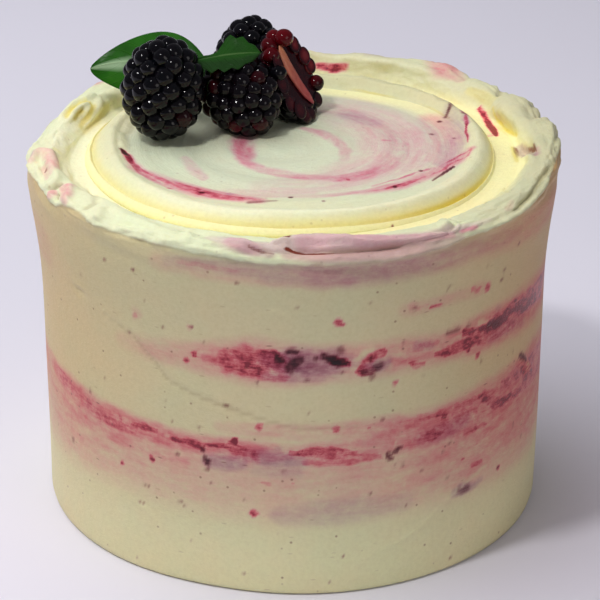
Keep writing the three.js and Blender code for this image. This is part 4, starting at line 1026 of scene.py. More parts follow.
def rim_strokes(a, v, table, wander=1.0):
    x, y = circle(a, RIM_AROUND)
    at = 0.7 * wander * noise(x / 4, y / 4, v / 3, seed=64)
    across = 0.5 * wander * noise(x / 4, y / 4, v / 3, seed=65)
    return strokes_around(turn(a, 0) * RIM_MM + at, v + across, table,
                          RIM_MM)


def rim_stains(a, v):
    return dict(juice=rim_strokes(a, v, RIM_RED), dark=0 * a,
                lilac=rim_strokes(a, v, RIM_LILAC),
                haze=rim_strokes(a, v, RIM_PINK),
                jam_and_shade=rim_strokes(a, v, RIM_JAM_AND_SHADE))


def disc_stains(x, y):
    r = np.maximum(np.hypot(x, y), 0.1)
    out = 0.8 * noise(x / r * 3, y / r * 3, r / 1.6, seed=71, octaves=3)
    px, py = x + x / r * out, y + y / r * out
    px = px + 0.7 * noise(x / 4, y / 4, 0 * x, seed=72, octaves=2)
    return dict(juice=strokes(px, py, DISC_RED),
                dark=strokes(x, y, DISC_DARK),
                lilac=strokes(px, py, DISC_LILAC),
                haze=strokes(px, py, DISC_PINK), jam_and_shade=0 * x)


# ---- Tints of the icing before its stains, with painted light and shade, as linear colours ----
CREAM = rgb(220, 214, 174)
LOW_CREAM = rgb(240, 236, 190)
FLARE_SHADE_CREAM = rgb(215, 210, 170)
CREASE_SHADE = rgb(150, 124, 88)
LEFT_WARM_SHADE = rgb(216, 193, 145)
RIGHT_WARM_SHADE = rgb(200, 165, 118)
RIM_PALE = rgb(238, 241, 204)
RIM_RIGHT_SHADE = rgb(208, 206, 170)
RIM_BACK_SHADE = rgb(220, 217, 181)
TROUGH_LIT_PALE = rgb(252, 249, 214)
TROUGH_BOUNCE_YELLOW = rgb(252, 245, 188)
CREASE_SHADE_YELLOW = rgb(240, 222, 112)
MAUVE = rgb(222, 198, 192)
MAUVE_SHADE = rgb(206, 176, 169)
DULL_GREEN = rgb(160, 150, 108)
DISH_PALE = rgb(219, 224, 198)
DISH_FRONT_LIT = rgb(228, 229, 194)
RING_SIDE = rgb(228, 226, 188)
RING_FRONT_LIT = rgb(246, 246, 212)
RING_BACK_SHADE = rgb(217, 213, 172)
BEAD_BOUNCE_YELLOW = rgb(252, 245, 188)
OLIVE_SHADE = rgb(230, 206, 74)


def blend(base, colour, weight):
    return base + (colour - base) * np.asarray(weight)[..., None]


def side_tint(a, z):
    """Painted light and shade: paler at the foot, where the floor's bounce lights it, and
    darker at the top under the flare; a painted warm shade towards the left and the right.
    Pale lines, most along the raised ridges, and a painted shade along the crease.
    """
    tint = np.broadcast_to(CREAM, (*np.shape(a), 3))
    # Painted light: the foot is paler, where the floor's bounce lights it.
    tint = blend(tint, LOW_CREAM, 1 - smooth((z - 8) / 34))
    # Painted shade: the top is darker, under the flare.
    tint = blend(tint, FLARE_SHADE_CREAM, smooth((z - 80) / 30))
    # Painted warm shade towards the left and the right edges, where the side turns from
    # the light and takes a warm bounce; it grows with height.
    high = 0.35 + 0.65 * smooth((z - 10) / 60)
    tint = blend(tint, LEFT_WARM_SHADE, around(a, -165, 42) * high)
    tint = blend(tint, RIGHT_WARM_SHADE, around(a, -14, 44) * high)
    tint = blend(tint, LOW_CREAM, 0.6 * side_lines(a, z, PALE_LINES))
    # Painted shade along the crease lines.
    return blend(tint, CREASE_SHADE, 0.4 * side_lines(a, z, CREASE_SHADE_LINES))


def rim_tint(a, v):
    """Pale rim, in painted shade towards the right and the back; past its shelf the trough
    takes a painted yellow bounce light, paler at the left; creases in a painted yellow
    shade; the mauve flap with its lit ridge and shaded lower side; shaded hollows.
    """
    tint = np.broadcast_to(RIM_PALE, (*np.shape(a), 3))
    # Painted shade: the rim darkens towards the right and the back, away from the light.
    tint = blend(tint, RIM_RIGHT_SHADE, around(a, 0, 62))
    tint = blend(tint, RIM_BACK_SHADE, around(a, 90, 60) * 0.8)
    shelf = 11.0 + swells(a, SHELF_SWELLS)
    # Painted light: past the shelf the trough glows yellow with light bounced in the
    # hollow, paler and brighter at the left.
    left = around(a, 180, 50)[..., None]
    tint = blend(tint, mix(TROUGH_BOUNCE_YELLOW, TROUGH_LIT_PALE, left),
                 smooth((v - shelf) / 7))
    # Painted shade in the rim's creases, yellowed by bounced light.
    tint = blend(tint, CREASE_SHADE_YELLOW, 0.9 * rim_strokes(a, v, RIM_CREASE_SHADE, 0.5))
    tint = blend(tint, MAUVE, rim_strokes(a, v, RIM_MAUVE, 0.8))
    tint = blend(tint, MAUVE_SHADE, rim_strokes(a, v, RIM_MAUVE_SHADE, 0.6))
    return blend(tint, DULL_GREEN, 0.75 * rim_strokes(a, v, RIM_DULL, 0.5))


def disc_tint(a, u):
    """Pale dish, lighter at the front of its edge in painted light; the ring in painted
    light at the front and painted shade at the back; painted yellow bounce light on the
    bead and the front of the groove; painted yellow shade in the groove, olive painted
    shade where the groove is deep and under the scallops, and painted bounce light on the
    floor below them."""
    front = around(a, -90, 60)
    back = around(a, 62, 52)
    tint = np.broadcast_to(DISH_PALE, (*np.shape(a), 3))
    # Painted light at the front of the dish's edge.
    tint = blend(tint, DISH_FRONT_LIT, front * (1 - smooth((u - 4.0) / 0.3)))
    ring = np.broadcast_to(RING_SIDE, tint.shape)
    # Painted light on the ring's front and painted shade on its back.
    ring = blend(blend(ring, RING_FRONT_LIT, front), RING_BACK_SHADE, back)
    tint = blend(tint, ring, 1 - smooth((u - 3.5) / 0.6))
    # Painted bounce light: the bead, and the front of the groove, glow yellow.
    tint = blend(tint, BEAD_BOUNCE_YELLOW, (1 - smooth((u - 1.0) / 0.5)) * 0.9)
    tint = blend(tint, BEAD_BOUNCE_YELLOW, front * (1 - smooth((u - 2.2) / 0.5)))
    # Painted shade in the groove, yellowed by bounced light.
    groove = smooth((u - 1.0) / 0.4) * (1 - smooth((u - 2.0) / 0.4))
    tint = blend(tint, CREASE_SHADE_YELLOW, groove * 0.4)
    # Painted olive shade where the groove is deep at the front right.
    deep = smooth((u - 1.1) / 0.4) * (1 - smooth((u - 2.05) / 0.22))
    tint = blend(tint, OLIVE_SHADE, 0.95 * around(a, -36, 26) * deep)
    # Painted olive shade under the back scallops.
    scallops = 0.65 + 0.35 * sind(a * 13 + 50)
    wall = bump(u - 3.86, 0.13) * back * scallops
    tint = blend(tint, OLIVE_SHADE, wall * 0.6)
    # Painted bounce light on the floor below the scallops.
    below = smooth((u - 3.95) / 0.05) * (1 - smooth((u - 4.05) / 0.12))
    return blend(tint, TROUGH_BOUNCE_YELLOW, below * back * 0.9)


# ---- Materials ----
class Look:
    """A node material, built call by call."""

    def __init__(self, name, radius=None, **sockets):
        self.material = bpy.data.materials.new(name)
        self.material.use_nodes = True
        self.tree = self.material.node_tree
        self.shader = self.tree.nodes["Principled BSDF"]
        for key, value in sockets.items():
            self.shader.inputs[key.replace("_", " ")].default_value = value
        if radius:
            self.shader.inputs["Subsurface Radius"].default_value = radius

    def node(self, kind, inputs=(), out=0, **settings):
        node = self.tree.nodes.new("ShaderNode" + kind)
        for key, value in settings.items():
            setattr(node, key, value)
        for key, value in dict(inputs).items():
            if isinstance(value, bpy.types.NodeSocket):
                self.tree.links.new(value, node.inputs[key])
            else:
                node.inputs[key].default_value = value
        return node.outputs[out]

    def math(self, operation, *values):
        return self.node("Math", dict(enumerate(values)),
                         operation=operation)

    def plus(self, a, b):
        return self.math("ADD", a, b)

    def minus(self, a, b):
        return self.math("SUBTRACT", a, b)

    def times(self, a, b):
        return self.math("MULTIPLY", a, b)

    def most(self, a, b):
        return self.math("MAXIMUM", a, b)

    def attribute(self, name, out="Fac"):
        return self.node("Attribute", out=out, attribute_name=name)

    def place(self):
        return self.node("TexCoord", out="Object")

    def height(self):
        """Height over the floor, in metres."""
        return self.node("SeparateXYZ", {0: self.place()}, out=2)

    def noise(self, vector, scale, detail=3.0, rough=0.5):
        return self.node("TexNoise", {
            "Vector": vector, "Scale": scale, "Detail": detail,
            "Roughness": rough})

    def span(self, value, low, high, to_low=0.0, to_high=1.0):
        return self.node("MapRange", {
            "Value": value, "From Min": low, "From Max": high,
            "To Min": to_low, "To Max": to_high})

    def mix(self, factor, a, b, way="MIX"):
        return self.node("MixRGB", {"Fac": factor, "Color1": a, "Color2": b},
                         blend_type=way)

    def ramp(self, value, stops):
        node = self.tree.nodes.new("ShaderNodeValToRGB")
        elements = node.color_ramp.elements
        while len(elements) < len(stops):
            elements.new(0.5)
        for element, (place, colour) in zip(elements, stops):
            element.position = place
            element.color = colour
        self.tree.links.new(value, node.inputs[0])
        return node.outputs[0]

    def dyed(self, base, level, stops):
        """Base seen through juice, whose stops go up to its full strength."""
        top = stops[-1][0]
        dye = self.ramp(self.math("DIVIDE", level, top), [
            (place / top, (*shade, 1.0)) for place, shade in stops])
        return self.mix(1.0, base, dye, "MULTIPLY")

    def flecks(self, vector, scale, size, share):
        """Small spots in a share of the cells of a Voronoi pattern."""
        cells = {"Vector": vector, "Scale": scale}
        near = self.node("TexVoronoi", cells, out="Distance")
        cell = self.node("TexVoronoi", cells, out="Color")
        pick = self.span(self.node("SeparateColor", {0: cell}),
                         1 - share, 1 - share + 0.02)
        return self.times(pick, self.span(near, size, size * 0.45))

    def to(self, socket, value):
        self.tree.links.new(value, self.shader.inputs[socket])

    def bump_by(self, height, distance, strength):
        self.to("Normal", self.node("Bump", {
            "Height": height, "Distance": distance, "Strength": strength}))


# What juice of each strength does to the icing's colour.
RED_DYE = [
    (0.0, (1.0, 1.0, 1.0)), (0.25, (1.0, 0.76, 0.90)),
    (0.5, (0.98, 0.50, 0.72)), (0.72, (0.94, 0.30, 0.52)),
    (0.95, (0.80, 0.15, 0.31)), (1.15, (0.58, 0.07, 0.18)),
    (1.3, (0.34, 0.035, 0.10))]
LILAC_DYE = [
    (0.0, (1.0, 1.0, 1.0)), (0.5, (0.77, 0.67, 0.85)),
    (1.0, (0.45, 0.34, 0.52)), (1.3, (0.26, 0.16, 0.26))]
DARK_DYE = [
    (0.0, (1.0, 1.0, 1.0)), (0.3, (0.62, 0.46, 0.50)),
    (0.6, (0.30, 0.14, 0.18)), (0.9, (0.14, 0.045, 0.07)),
    (1.2, (0.07, 0.025, 0.04))]
JAM_AND_SHADE_COLOUR = linear(126, 54, 38)
FLECK = linear(128, 74, 62)
# Slight unevenness of the clean icing, in broad patches and in fine grains.
BROAD_PATCHES = [(0.35, (1.0, 0.965, 0.93, 1)), (0.65, (0.95, 0.985, 0.95, 1))]
FINE_GRAINS = [(0.3, (0.94, 0.93, 0.91, 1)), (0.6, (1.0, 1.0, 1.0, 1))]
# Heights in metres between which the flecks of the side fade to the rim's.
FLECKS_FADE = (0.108, 0.114)


def icing_look():
    """Soft icing in its painted tint, dyed where the painted juice says."""
    look = Look("icing", (1.0, 0.72, 0.4), Roughness=0.5,
                Subsurface_Weight=0.15, Subsurface_Scale=0.002,
                Specular_IOR_Level=0.3)
    grain = look.attribute("grain", "Vector")
    place = look.place()
    juice = look.times(look.attribute("juice"), 1.22)
    haze = look.attribute("haze")
    dark = look.attribute("dark")

    streaks = look.noise(grain, 1.0, 6, 0.62)
    blots = look.noise(place, 380, 5, 0.62)
    swing = look.minus(look.plus(look.times(streaks, 0.45),
                                 look.times(blots, 0.55)), 0.5)
    wide_swing = look.minus(look.noise(grain, 0.33, 4, 0.6), 0.5)

    def uneven(strength, reach, slow):
        """A painted strength, broken up in streaks and blots."""
        factor = look.plus(look.times(swing, reach), 1.0)
        factor = look.plus(factor, look.times(wide_swing, slow))
        return look.times(strength, look.most(factor, 0))

    colour = look.attribute("tint", "Color")
    broad = look.ramp(look.noise(place, 34, 3, 0.6), BROAD_PATCHES)
    colour = look.mix(1.0, colour, broad, "MULTIPLY")
    fine = look.ramp(look.noise(place, 700, 4, 0.7), FINE_GRAINS)
    colour = look.mix(1.0, colour, fine, "MULTIPLY")

    red = look.most(uneven(juice, 3.2, 1.6),
                    look.times(uneven(haze, 2.0, 2.2), 0.62))
    colour = look.dyed(colour, red, RED_DYE)
    lilac = uneven(look.attribute("lilac"), 2.2, 1.0)
    colour = look.dyed(colour, lilac, LILAC_DYE)
    colour = look.dyed(colour, uneven(dark, 2.6, 1.0), DARK_DYE)
    # Brown of jam, and painted shade in the rim's notches and hollows.
    jam_shade_mix = look.span(uneven(look.attribute("jam_and_shade"), 1.2, 0.6), 0.2, 0.8)
    colour = look.mix(jam_shade_mix, colour, JAM_AND_SHADE_COLOUR)

    in_haze = look.times(look.flecks(grain, 0.62, 0.17, 0.16),
                         look.span(haze, 0.0, 0.5, 0.35, 1.0))
    fleck = look.most(look.flecks(place, 360.0, 0.2, 0.14), in_haze)
    fade = look.span(look.height(), *FLECKS_FADE, 1.0, 0.4)
    fleck = look.times(fleck, fade)
    look.to("Base Color", look.mix(look.times(fleck, 0.55), colour, FLECK))

    wet = look.plus(look.most(juice, dark), swing)
    look.to("Roughness", look.span(wet, 0.2, 1.2, 0.5, 0.3))
    lines = look.noise(grain, 2.4, 5, 0.6)
    pits = look.noise(place, 900, 4, 0.65)
    relief = look.plus(look.times(lines, 0.5), look.times(pits, 0.5))
    look.bump_by(look.minus(relief, look.times(fleck, 0.3)), 0.0004, 0.7)
    return look.material


icing = icing_look()


def paint_icing(obj, stains, tint, grain, end_tints, end_grain):
    """Paints a piece of icing. Its two end points carry no stain."""
    for name, field in stains.items():
        paint(obj, name, np.append(field.ravel(), [0, 0]))
    paint(obj, "tint", np.vstack([tint.reshape(-1, 3), end_tints]))
    paint(obj, "grain", np.vstack([grain.reshape(-1, 3), end_grain,
                                   end_grain]))


def keep_inside(verts):
    """Eases points that come near a face of the solids' box back inside."""
    verts = np.array(verts)
    for axis in range(3):
        for side, face in ((-1, -cad_box[0][axis]), (1, cad_box[1][axis])):
            past = side * verts[:, axis] - (face / MM - EASE)
            eased = EASE * (1 - np.exp(-np.maximum(past, 0) / EASE))
            verts[:, axis] -= side * (np.maximum(past, 0) - eased)
    return verts


# ---- Iced cake piece ----
# Angles and places of its grid: fine where the photo shows it and on the rim.
FINE_ANGLES = np.arange(-186, 66, 0.5)
COARSE_ANGLES = np.arange(66, 174, 1.2)
SIDE_PLACES = np.linspace(-LIP_HEIGHT + 1.6, -6, 98)
RIM_PLACES = np.arange(-5.5, 24.1, 0.5)
# How fast the grain of the streaks runs round the cake and up it, and where
# the rim's grain starts, so that it differs from the side's.
CAKE_GRAIN = (0.24, 0.85)
RIM_GRAIN = 130


def build_cake():
    angles = np.concatenate([FINE_ANGLES, COARSE_ANGLES])
    a, v = np.meshgrid(angles, np.concatenate([SIDE_PLACES, RIM_PLACES]))
    r, z = cake_point(a, v)
    level = 0 * angles
    base = side_radius(angles, level) - FOOT_ROUND
    r = np.vstack([base, base + FOOT_ROUND * 0.7, r, level + FLOOR_INNER])
    z = np.vstack([level, level + FOOT_ROUND * 0.35, z, level + FLOOR_HEIGHT])
    v = np.vstack([v[0], v[0], v, v[-1]])
    a = np.vstack([angles, angles, a, angles])
    x, y = r * cosd(a), r * sind(a)
    rings = np.stack([x, y, z], -1)
    verts, faces = closed_rings(rings.reshape(-1, 3), len(angles),
                                (0, 0, 0), (0, 0, FLOOR_HEIGHT))
    obj = add_object("iced_cake_skin", keep_inside(verts), faces)

    on_rim = smooth(v - lip_edge(a) + 0.5)
    on_side, over = side_stains(a, z), rim_stains(a, v)
    stains = {name: mix(on_side[name], over[name], on_rim)
              for name in on_side}
    tint = mix(side_tint(a, z), rim_tint(a, v), on_rim[..., None])
    round_it, up_it = CAKE_GRAIN
    along = mix(z, v + RIM_GRAIN, on_rim)
    grain = np.stack([x * round_it, y * round_it, along * up_it], -1)
    paint_icing(obj, stains, tint, grain, [CREAM, CREAM], [0, 0, 0])
    dress(obj, "iced_cake", icing)


# ---- Swirl disc piece ----
DISC_COLUMNS = 640
# Rows of its grid: first step, last step, number of rows.
DISC_ROWS = [(0, 1, 7), (1, 2, 6), (2, 3, 10), (3, 4, 11)]
DISH_ROWS = np.linspace(4, 4.985, 108)
# The grain runs round the disc, faster across it, from a start of its own.
DISC_GRAIN = (4.5, 0.8)
DISC_GRAIN_START = 60


def build_disc():
    angles = np.linspace(-180, 180, DISC_COLUMNS, endpoint=False)
    steps = [np.linspace(first, last, rows, endpoint=False)
             for first, last, rows in DISC_ROWS]
    a, u = np.meshgrid(angles, np.concatenate([*steps, DISH_ROWS]))
    r, z = disc_point(a, u)
    z = z + disc_wrinkles(a, u, r)
    x, y = r * cosd(a), r * sind(a)
    rings = np.stack([x + DISC_CENTRE[0], y + DISC_CENTRE[1], z], -1)
    verts, faces = closed_rings(
        rings.reshape(-1, 3), DISC_COLUMNS, (*DISC_CENTRE, DISC_FOOT),
        (*DISC_CENTRE, z[-1].mean()))
    obj = add_object("swirl_disc_skin", verts, faces)
    tint = disc_tint(a, u)
    round_it, across_it = DISC_GRAIN
    grain = np.stack([*circle(a, round_it),
                      r * across_it + DISC_GRAIN_START], -1)
    paint_icing(obj, disc_stains(x, y), tint, grain,
                [tint[0, 0], tint[-1, -1]], [0, 0, DISC_GRAIN_START])
    dress(obj, "swirl_disc", icing)


build_cake()
build_disc()

# ---- Berries ----
# Middle, direction of the narrow end, length, width, how much narrower that
# end is, spacing of the drupelets in the solid (bead) and in the mesh (fine),
# and a seed.
BERRIES = {
    "berry_left": dict(at=(-42.0, 6.0, 134.6), axis=(-0.03, -0.06, -1.0),
                       long=34, wide=25.6, narrow=0.04, bead=5.2, seed=3,
                       fine=5.1),
    "berry_front": dict(at=(-17.2, 14.5, 129.3), axis=(0.55, -0.66, -0.4),
                        long=30, wide=24.5, narrow=0.16, bead=4.4, seed=11,
                        fine=4.6),
    "berry_back": dict(at=(-15.0, 45.5, 131.5), axis=(0.02, 0.42, 0.9),
                       long=27, wide=23.5, narrow=0.15, bead=4.6, seed=23,
                       fine=4.7),
    "berry_half": dict(at=(-0.6, 24.6, 132.6), axis=(-0.42, 0.1, 0.9),
                       long=33, wide=24.4, narrow=0.24, bead=4.6, seed=41,
                       fine=4.7),
}
CUT_OUT = np.array(Vector((0.79, -0.44, 0.42)).normalized())
CUT_SHIFT = 1.0
CUT_POINT = np.array(BERRIES["berry_half"]["at"]) + CUT_OUT * CUT_SHIFT
GOLDEN_ANGLE = math.radians(137.508)
# Share of a square of the spacing that one drupelet takes up, its radius as
# a share of the spacing, and how far it stands out, as a share of bead.
PACKING = 0.87
BALL_SHARE = 0.63
PROUD = 0.15


def scatter(seed, i):
    """Repeatable pseudo random value in -1 to 1."""
    s = math.sin(seed * 12.9898 + i * 78.233) * 43758.5453
    return 2 * (s - math.floor(s)) - 1


def berry_radius(b, t):
    body = math.sqrt(max(0.0, 1 - abs(2 * t - 1) ** 2.4))
    slim = 1 - b["narrow"] * float(smooth((t - 0.35) / 0.65))
    return b["wide"] / 2 * body * slim


def berry_axes(b):
    """Directions along a berry and across it, two ways."""
    along = Vector(b["axis"]).normalized()
    hint = Vector((0, 1, 0)) if abs(along.z) > 0.9 else Vector((0, 0, 1))
    across = hint.cross(along).normalized()
    other = along.cross(across).normalized()
    return [np.array(axis) for axis in (along, across, other)]


def berry_beads(b):
    """Middle, radius and number of each drupelet: a spiral of even spacing
    over the berry's barrel."""
    along, across, other = berry_axes(b)
    spacing = b["fine"]
    size = BALL_SHARE * spacing
    sunk = size - PROUD * b["bead"]
    t = np.linspace(0, 1, 481)
    rho = np.array([max(0.0, berry_radius(b, v) - sunk) for v in t])
    lengthwise = (t - 0.5) * (b["long"] + 0.1 * b["bead"] - 2 * sunk)
    step = np.hypot(np.diff(rho), np.diff(lengthwise))
    ring = math.pi * (rho[1:] + rho[:-1] + 0.5) * step
    area = np.concatenate([[0], np.cumsum(ring)])
    count = int(round(area[-1] / (PACKING * spacing ** 2)))
    for number in range(count):
        part = area[-1] * (number + 0.5) / count
        r = float(np.interp(part, area, rho))
        z = float(np.interp(part, area, lengthwise))
        w = number * GOLDEN_ANGLE + b["seed"]
        w += 0.10 * spacing / max(r, 2.0) * scatter(b["seed"], number)
        z += 0.08 * spacing * scatter(b["seed"] + 3, number)
        c = (np.array(b["at"]) + along * z + across * (math.cos(w) * r)
             + other * (math.sin(w) * r))
        yield c, size * (1 + 0.08 * scatter(b["seed"] + 5, number)), number


def ball_mesh(level):
    bm = bmesh.new()
    bmesh.ops.create_icosphere(bm, subdivisions=level, radius=1)
    verts = np.array([v.co[:] for v in bm.verts])
    faces = np.array([[v.index for v in f.verts] for f in bm.faces])
    bm.free()
    return verts, faces


BALL, BALL_FACES = ball_mesh(4)


def barrel(b, inset, rows=28, columns=32):
    """Dark body under the drupelets, so that no gap shows through."""
    along, across, other = berry_axes(b)
    at = np.array(b["at"])
    q = np.arange(columns) / columns * 2 * math.pi
    circle = np.outer(np.cos(q), across) + np.outer(np.sin(q), other)
    rings = []
    for k in range(1, rows):
        t = k / rows
        r = max(0.3, berry_radius(b, t) - inset)
        rings.append(circle * r + at + along * (
            (t - 0.5) * (b["long"] - 2 * inset)))
    half = along * (b["long"] / 2 - inset)
    return closed_rings(np.vstack(rings), columns, at - half, at + half)


def cut_right():
    """Direction across the cut face, to the right."""
    right = np.cross(berry_axes(BERRIES["berry_half"])[0], CUT_OUT)
    return right / (np.linalg.norm(right) * np.sign(right[0]))


def cut_coordinates(points):
    """Across to the right, up along the berry and out of the cut plane."""
    d = np.atleast_2d(points) - CUT_POINT
    return (d @ cut_right(), d @ berry_axes(BERRIES["berry_half"])[0],
            d @ CUT_OUT)


def squash(verts, shift, bulge):
    """Points past the cut plane, moved out by shift, pressed back to it with
    a slight bulge, and how far past it they were."""
    past = np.maximum(cut_coordinates(verts)[2] - shift, 0)
    back = np.outer(past - bulge * np.sqrt(past), CUT_OUT)
    return verts - back, past


def drupelet(b, middle, size, number):
    """Points of one ball, a little uneven and longer along the berry."""
    along = berry_axes(b)[0]
    p = BALL * size
    stretch = 0.06 * scatter(b["seed"] + 9, number)
    p = p + (p @ along)[:, None] * along * stretch + middle
    wobble = noise(*(p / 2.1).T, seed=number % 97, octaves=1)
    return p + BALL * (0.035 * size * wobble)[:, None]


def sliced_drupelet(b, p, middle, size, number):
    """The ball's points after the cut and how much each was cut, or None
    where the whole ball went with the other half. The crown and the outer
    drupelets beside the cut were spared."""
    across, up, depth = (float(v[0]) for v in cut_coordinates(middle))
    d = cut_coordinates(p)[2]
    if depth > 1.6 or d.min() > 0.2 * size:
        return None
    spared = (up > 9.0 or (across > 6.5 and up < -1.0)
              or (across < -8.0 and up > 2.0))
    if spared or d.max() <= 0:
        return p, np.zeros(len(p))
    p, past = squash(p, 0.15 * scatter(b["seed"] + 2, number), 0.16)
    return p, smooth(past / 0.25)


def build_berry(name, b):
    """Drupelets and body of a berry as one mesh, sliced for the half one.
    Each vertex keeps how ripe its drupelet is, how far it was cut and how
    far from the drupelet's middle it lies."""
    halved = name == "berry_half"
    verts, faces, ripe, cut, cell = [], [], [], [], []
    count = 0
    for middle, size, number in berry_beads(b):
        p = drupelet(b, middle, size, number)
        cut_here = np.zeros(len(p))
        if halved:
            kept = sliced_drupelet(b, p, middle, size, number)
            if kept is None:
                continue
            p, cut_here = kept
        verts.append(p)
        faces.append(BALL_FACES + count)
        count += len(p)
        own = 0.5 + 0.5 * scatter(b["seed"] + 30, number)
        ripe.append(np.full(len(p), own))
        cut.append(cut_here)
        cell.append(np.linalg.norm(p - middle, axis=1) / size)
    body, body_faces = barrel(b, 0.62 * b["fine"])
    past = np.zeros(len(body))
    if halved:
        body, past = squash(body, -0.7, 0.1)
    verts = np.vstack([*verts, body])
    faces = np.vstack(faces).tolist()
    faces += [tuple(i + count for i in f) for f in body_faces]
    ripe = np.append(np.concatenate(ripe), np.full(len(body), 0.5))
    obj = add_object(name + "_drupelets", verts, faces)
    paint(obj, "red", redness(name, verts, ripe))
    paint(obj, "cut", np.append(np.concatenate(cut), smooth(past / 0.2)))
    paint(obj, "cell", np.append(np.concatenate(cell),
                                 np.full(len(body), 0.9)))
    return obj


def redness(name, verts, ripe):
    """How red each vertex of a berry is. On the half berry, the left of the cut face gets
    no red, so that its flesh takes the painted shade, and the crown's red is partly a
    painted glow of light shining through it.
    """
    if name == "berry_half":
        across, up, depth = cut_coordinates(verts)
        near = smooth((depth + 5) / 4)
        # Painted shade: the left of the cut face gets no red and so takes the dark flesh.
        side = smooth((across + 0.5) / 3.0)
        # The crown's red is partly painted light shining through its drupelets.
        crown = smooth((up - 7) / 3) * smooth((depth + 7) / 4)
        low = smooth((up + 9) / 5)
        return np.maximum(0.42 * near * side * low,
                          0.5 * crown) * (0.4 + 0.6 * ripe)
    if name == "berry_front":
        low = smooth((126 - verts[:, 2]) / 6)
        return np.where(ripe > 0.84, 0.22, 0.01) * (0.35 + 0.65 * low)
    return np.where(ripe > 0.95, 0.06, 0.0)


SKIN_DARK = [(0.35, linear(4, 5, 9)), (0.7, linear(10, 7, 12))]
SKIN_RED = linear(138, 4, 18)
# Flesh from a drupelet's middle out, and the painted shade it takes where it isn't red, as
# on the left of the cut face.
FLESH = [(0.25, linear(150, 52, 56)), (0.55, linear(120, 20, 30)),
         (0.85, linear(62, 5, 14)), (1.0, linear(30, 4, 10))]
FLESH_SHADE = linear(34, 6, 14)


def berry_look():
    look = Look("berry_skin", (1.0, 0.15, 0.15), Roughness=0.08,
                Specular_IOR_Level=0.24, Subsurface_Weight=0.06,
                Subsurface_Scale=0.002)
    place = look.place()
    red = look.attribute("red")
    skin = look.ramp(look.noise(place, 380, 3), SKIN_DARK)
    skin = look.mix(red, skin, SKIN_RED)
    ragged = look.times(look.minus(look.noise(place, 650, 4), 0.5), 0.5)
    flesh = look.ramp(look.plus(look.attribute("cell"), ragged), FLESH)
    # Painted shade on the flesh where it isn't red.
    flesh = look.mix(look.span(red, 0.05, 0.6, 0.85, 0.0), flesh, FLESH_SHADE)
    look.to("Base Color", look.mix(look.attribute("cut"), skin, flesh))
    look.bump_by(look.noise(place, 1100, 3), 0.00012, 0.5)
    return look.material


def build_berries():
    skin = berry_look()
    for name, b in BERRIES.items():
        dress(build_berry(name, b), name, skin)


# Middle line of the pith on the cut face: across, up, half width in mm.
PITH = [(-1.6, 11.5, 0.5), (-2.2, 9.0, 1.5), (-2.4, 5.5, 1.9),
        (-1.9, 1.5, 1.9), (-1.0, -3.0, 1.8), (0.4, -7.5, 1.6),
        (1.8, -11.0, 0.6)]
PITH_COLUMNS = 28
PITH_COLOURS = [(0.0, linear(168, 62, 74)), (0.45, linear(182, 98, 84)),
                (1.0, linear(196, 132, 92))]
PITH_FIBRES = linear(128, 38, 48)
# Heights in metres over which the pith's colours run.
PITH_SPAN = (0.124, 0.144)


def core_look():
    """Pale flesh, redder towards its lower end, with fine fibres."""
    look = Look("berry_core", (1.0, 0.4, 0.25), Roughness=0.4,
                Subsurface_Weight=0.3, Subsurface_Scale=0.002)
    colour = look.ramp(look.span(look.height(), *PITH_SPAN), PITH_COLOURS)
    fibres = look.noise(look.node("Mapping", {
        "Vector": look.place(), "Scale": (900, 900, 140)}), 1.0, 4)
    colour = look.mix(look.span(fibres, 0.35, 0.75, 0, 0.5), colour,
                      PITH_FIBRES)
    look.to("Base Color", colour)
    look.bump_by(fibres, 0.0002, 0.6)
    return look.material


def build_core():
    """A flat bow of pith that stands a little proud of the cut face."""
    along = berry_axes(BERRIES["berry_half"])[0]
    right = cut_right()
    path = rounded(PITH, 7)
    q = np.arange(PITH_COLUMNS) / PITH_COLUMNS * 2 * math.pi
    middles = [CUT_POINT + right * across + along * up
               for across, up, _ in path]
    rings = [middle + np.outer(np.cos(q) * half, right)
             + np.outer(np.sin(q) * half * 0.55 + 0.1, CUT_OUT)
             for middle, (_, _, half) in zip(middles, path)]
    verts, faces = closed_rings(
        np.vstack(rings), PITH_COLUMNS, middles[0] + along * path[0][2],
        middles[-1] - along * path[-1][2])
    faces = [face[::-1] for face in faces]
    obj = add_object("berry_half_core_pith", verts, faces)
    dress(obj, "berry_half_core", core_look())


build_berries()
build_core()

# ---- Leaves ----
# Base and tip of the midrib, directions of the two halves, their widths, how
# the midrib bows, how much the blade cups, teeth along the edge, and how far
# along the upper half grows to its full width.
LEAVES = {
    "leaf_left": dict(
        base=(-27.0, 23.0, 130.0), tip=(-67.2, 35.5, 130.4), up=(7, 13, 19.5),
        down=(-7, -13, -19.5), wide=(11.5, 11.5), bow=(0, 3.0, 3.5),
        cup=1.6, teeth=0, flap=None),
    "leaf_middle": dict(
        base=(-32.0, 13.0, 141.5), tip=(-11.0, 15.0, 143.6),
        up=(0.5, 6.5, 4.0), down=(-1.0, -8, -3.2), wide=(8.0, 9.0),
        bow=(0, 0, 0.8), cup=0.3, teeth=5, flap=0.3),
}
LEAF_THICK = 0.6
LEAF_ROWS, LEAF_COLUMNS = 96, 40


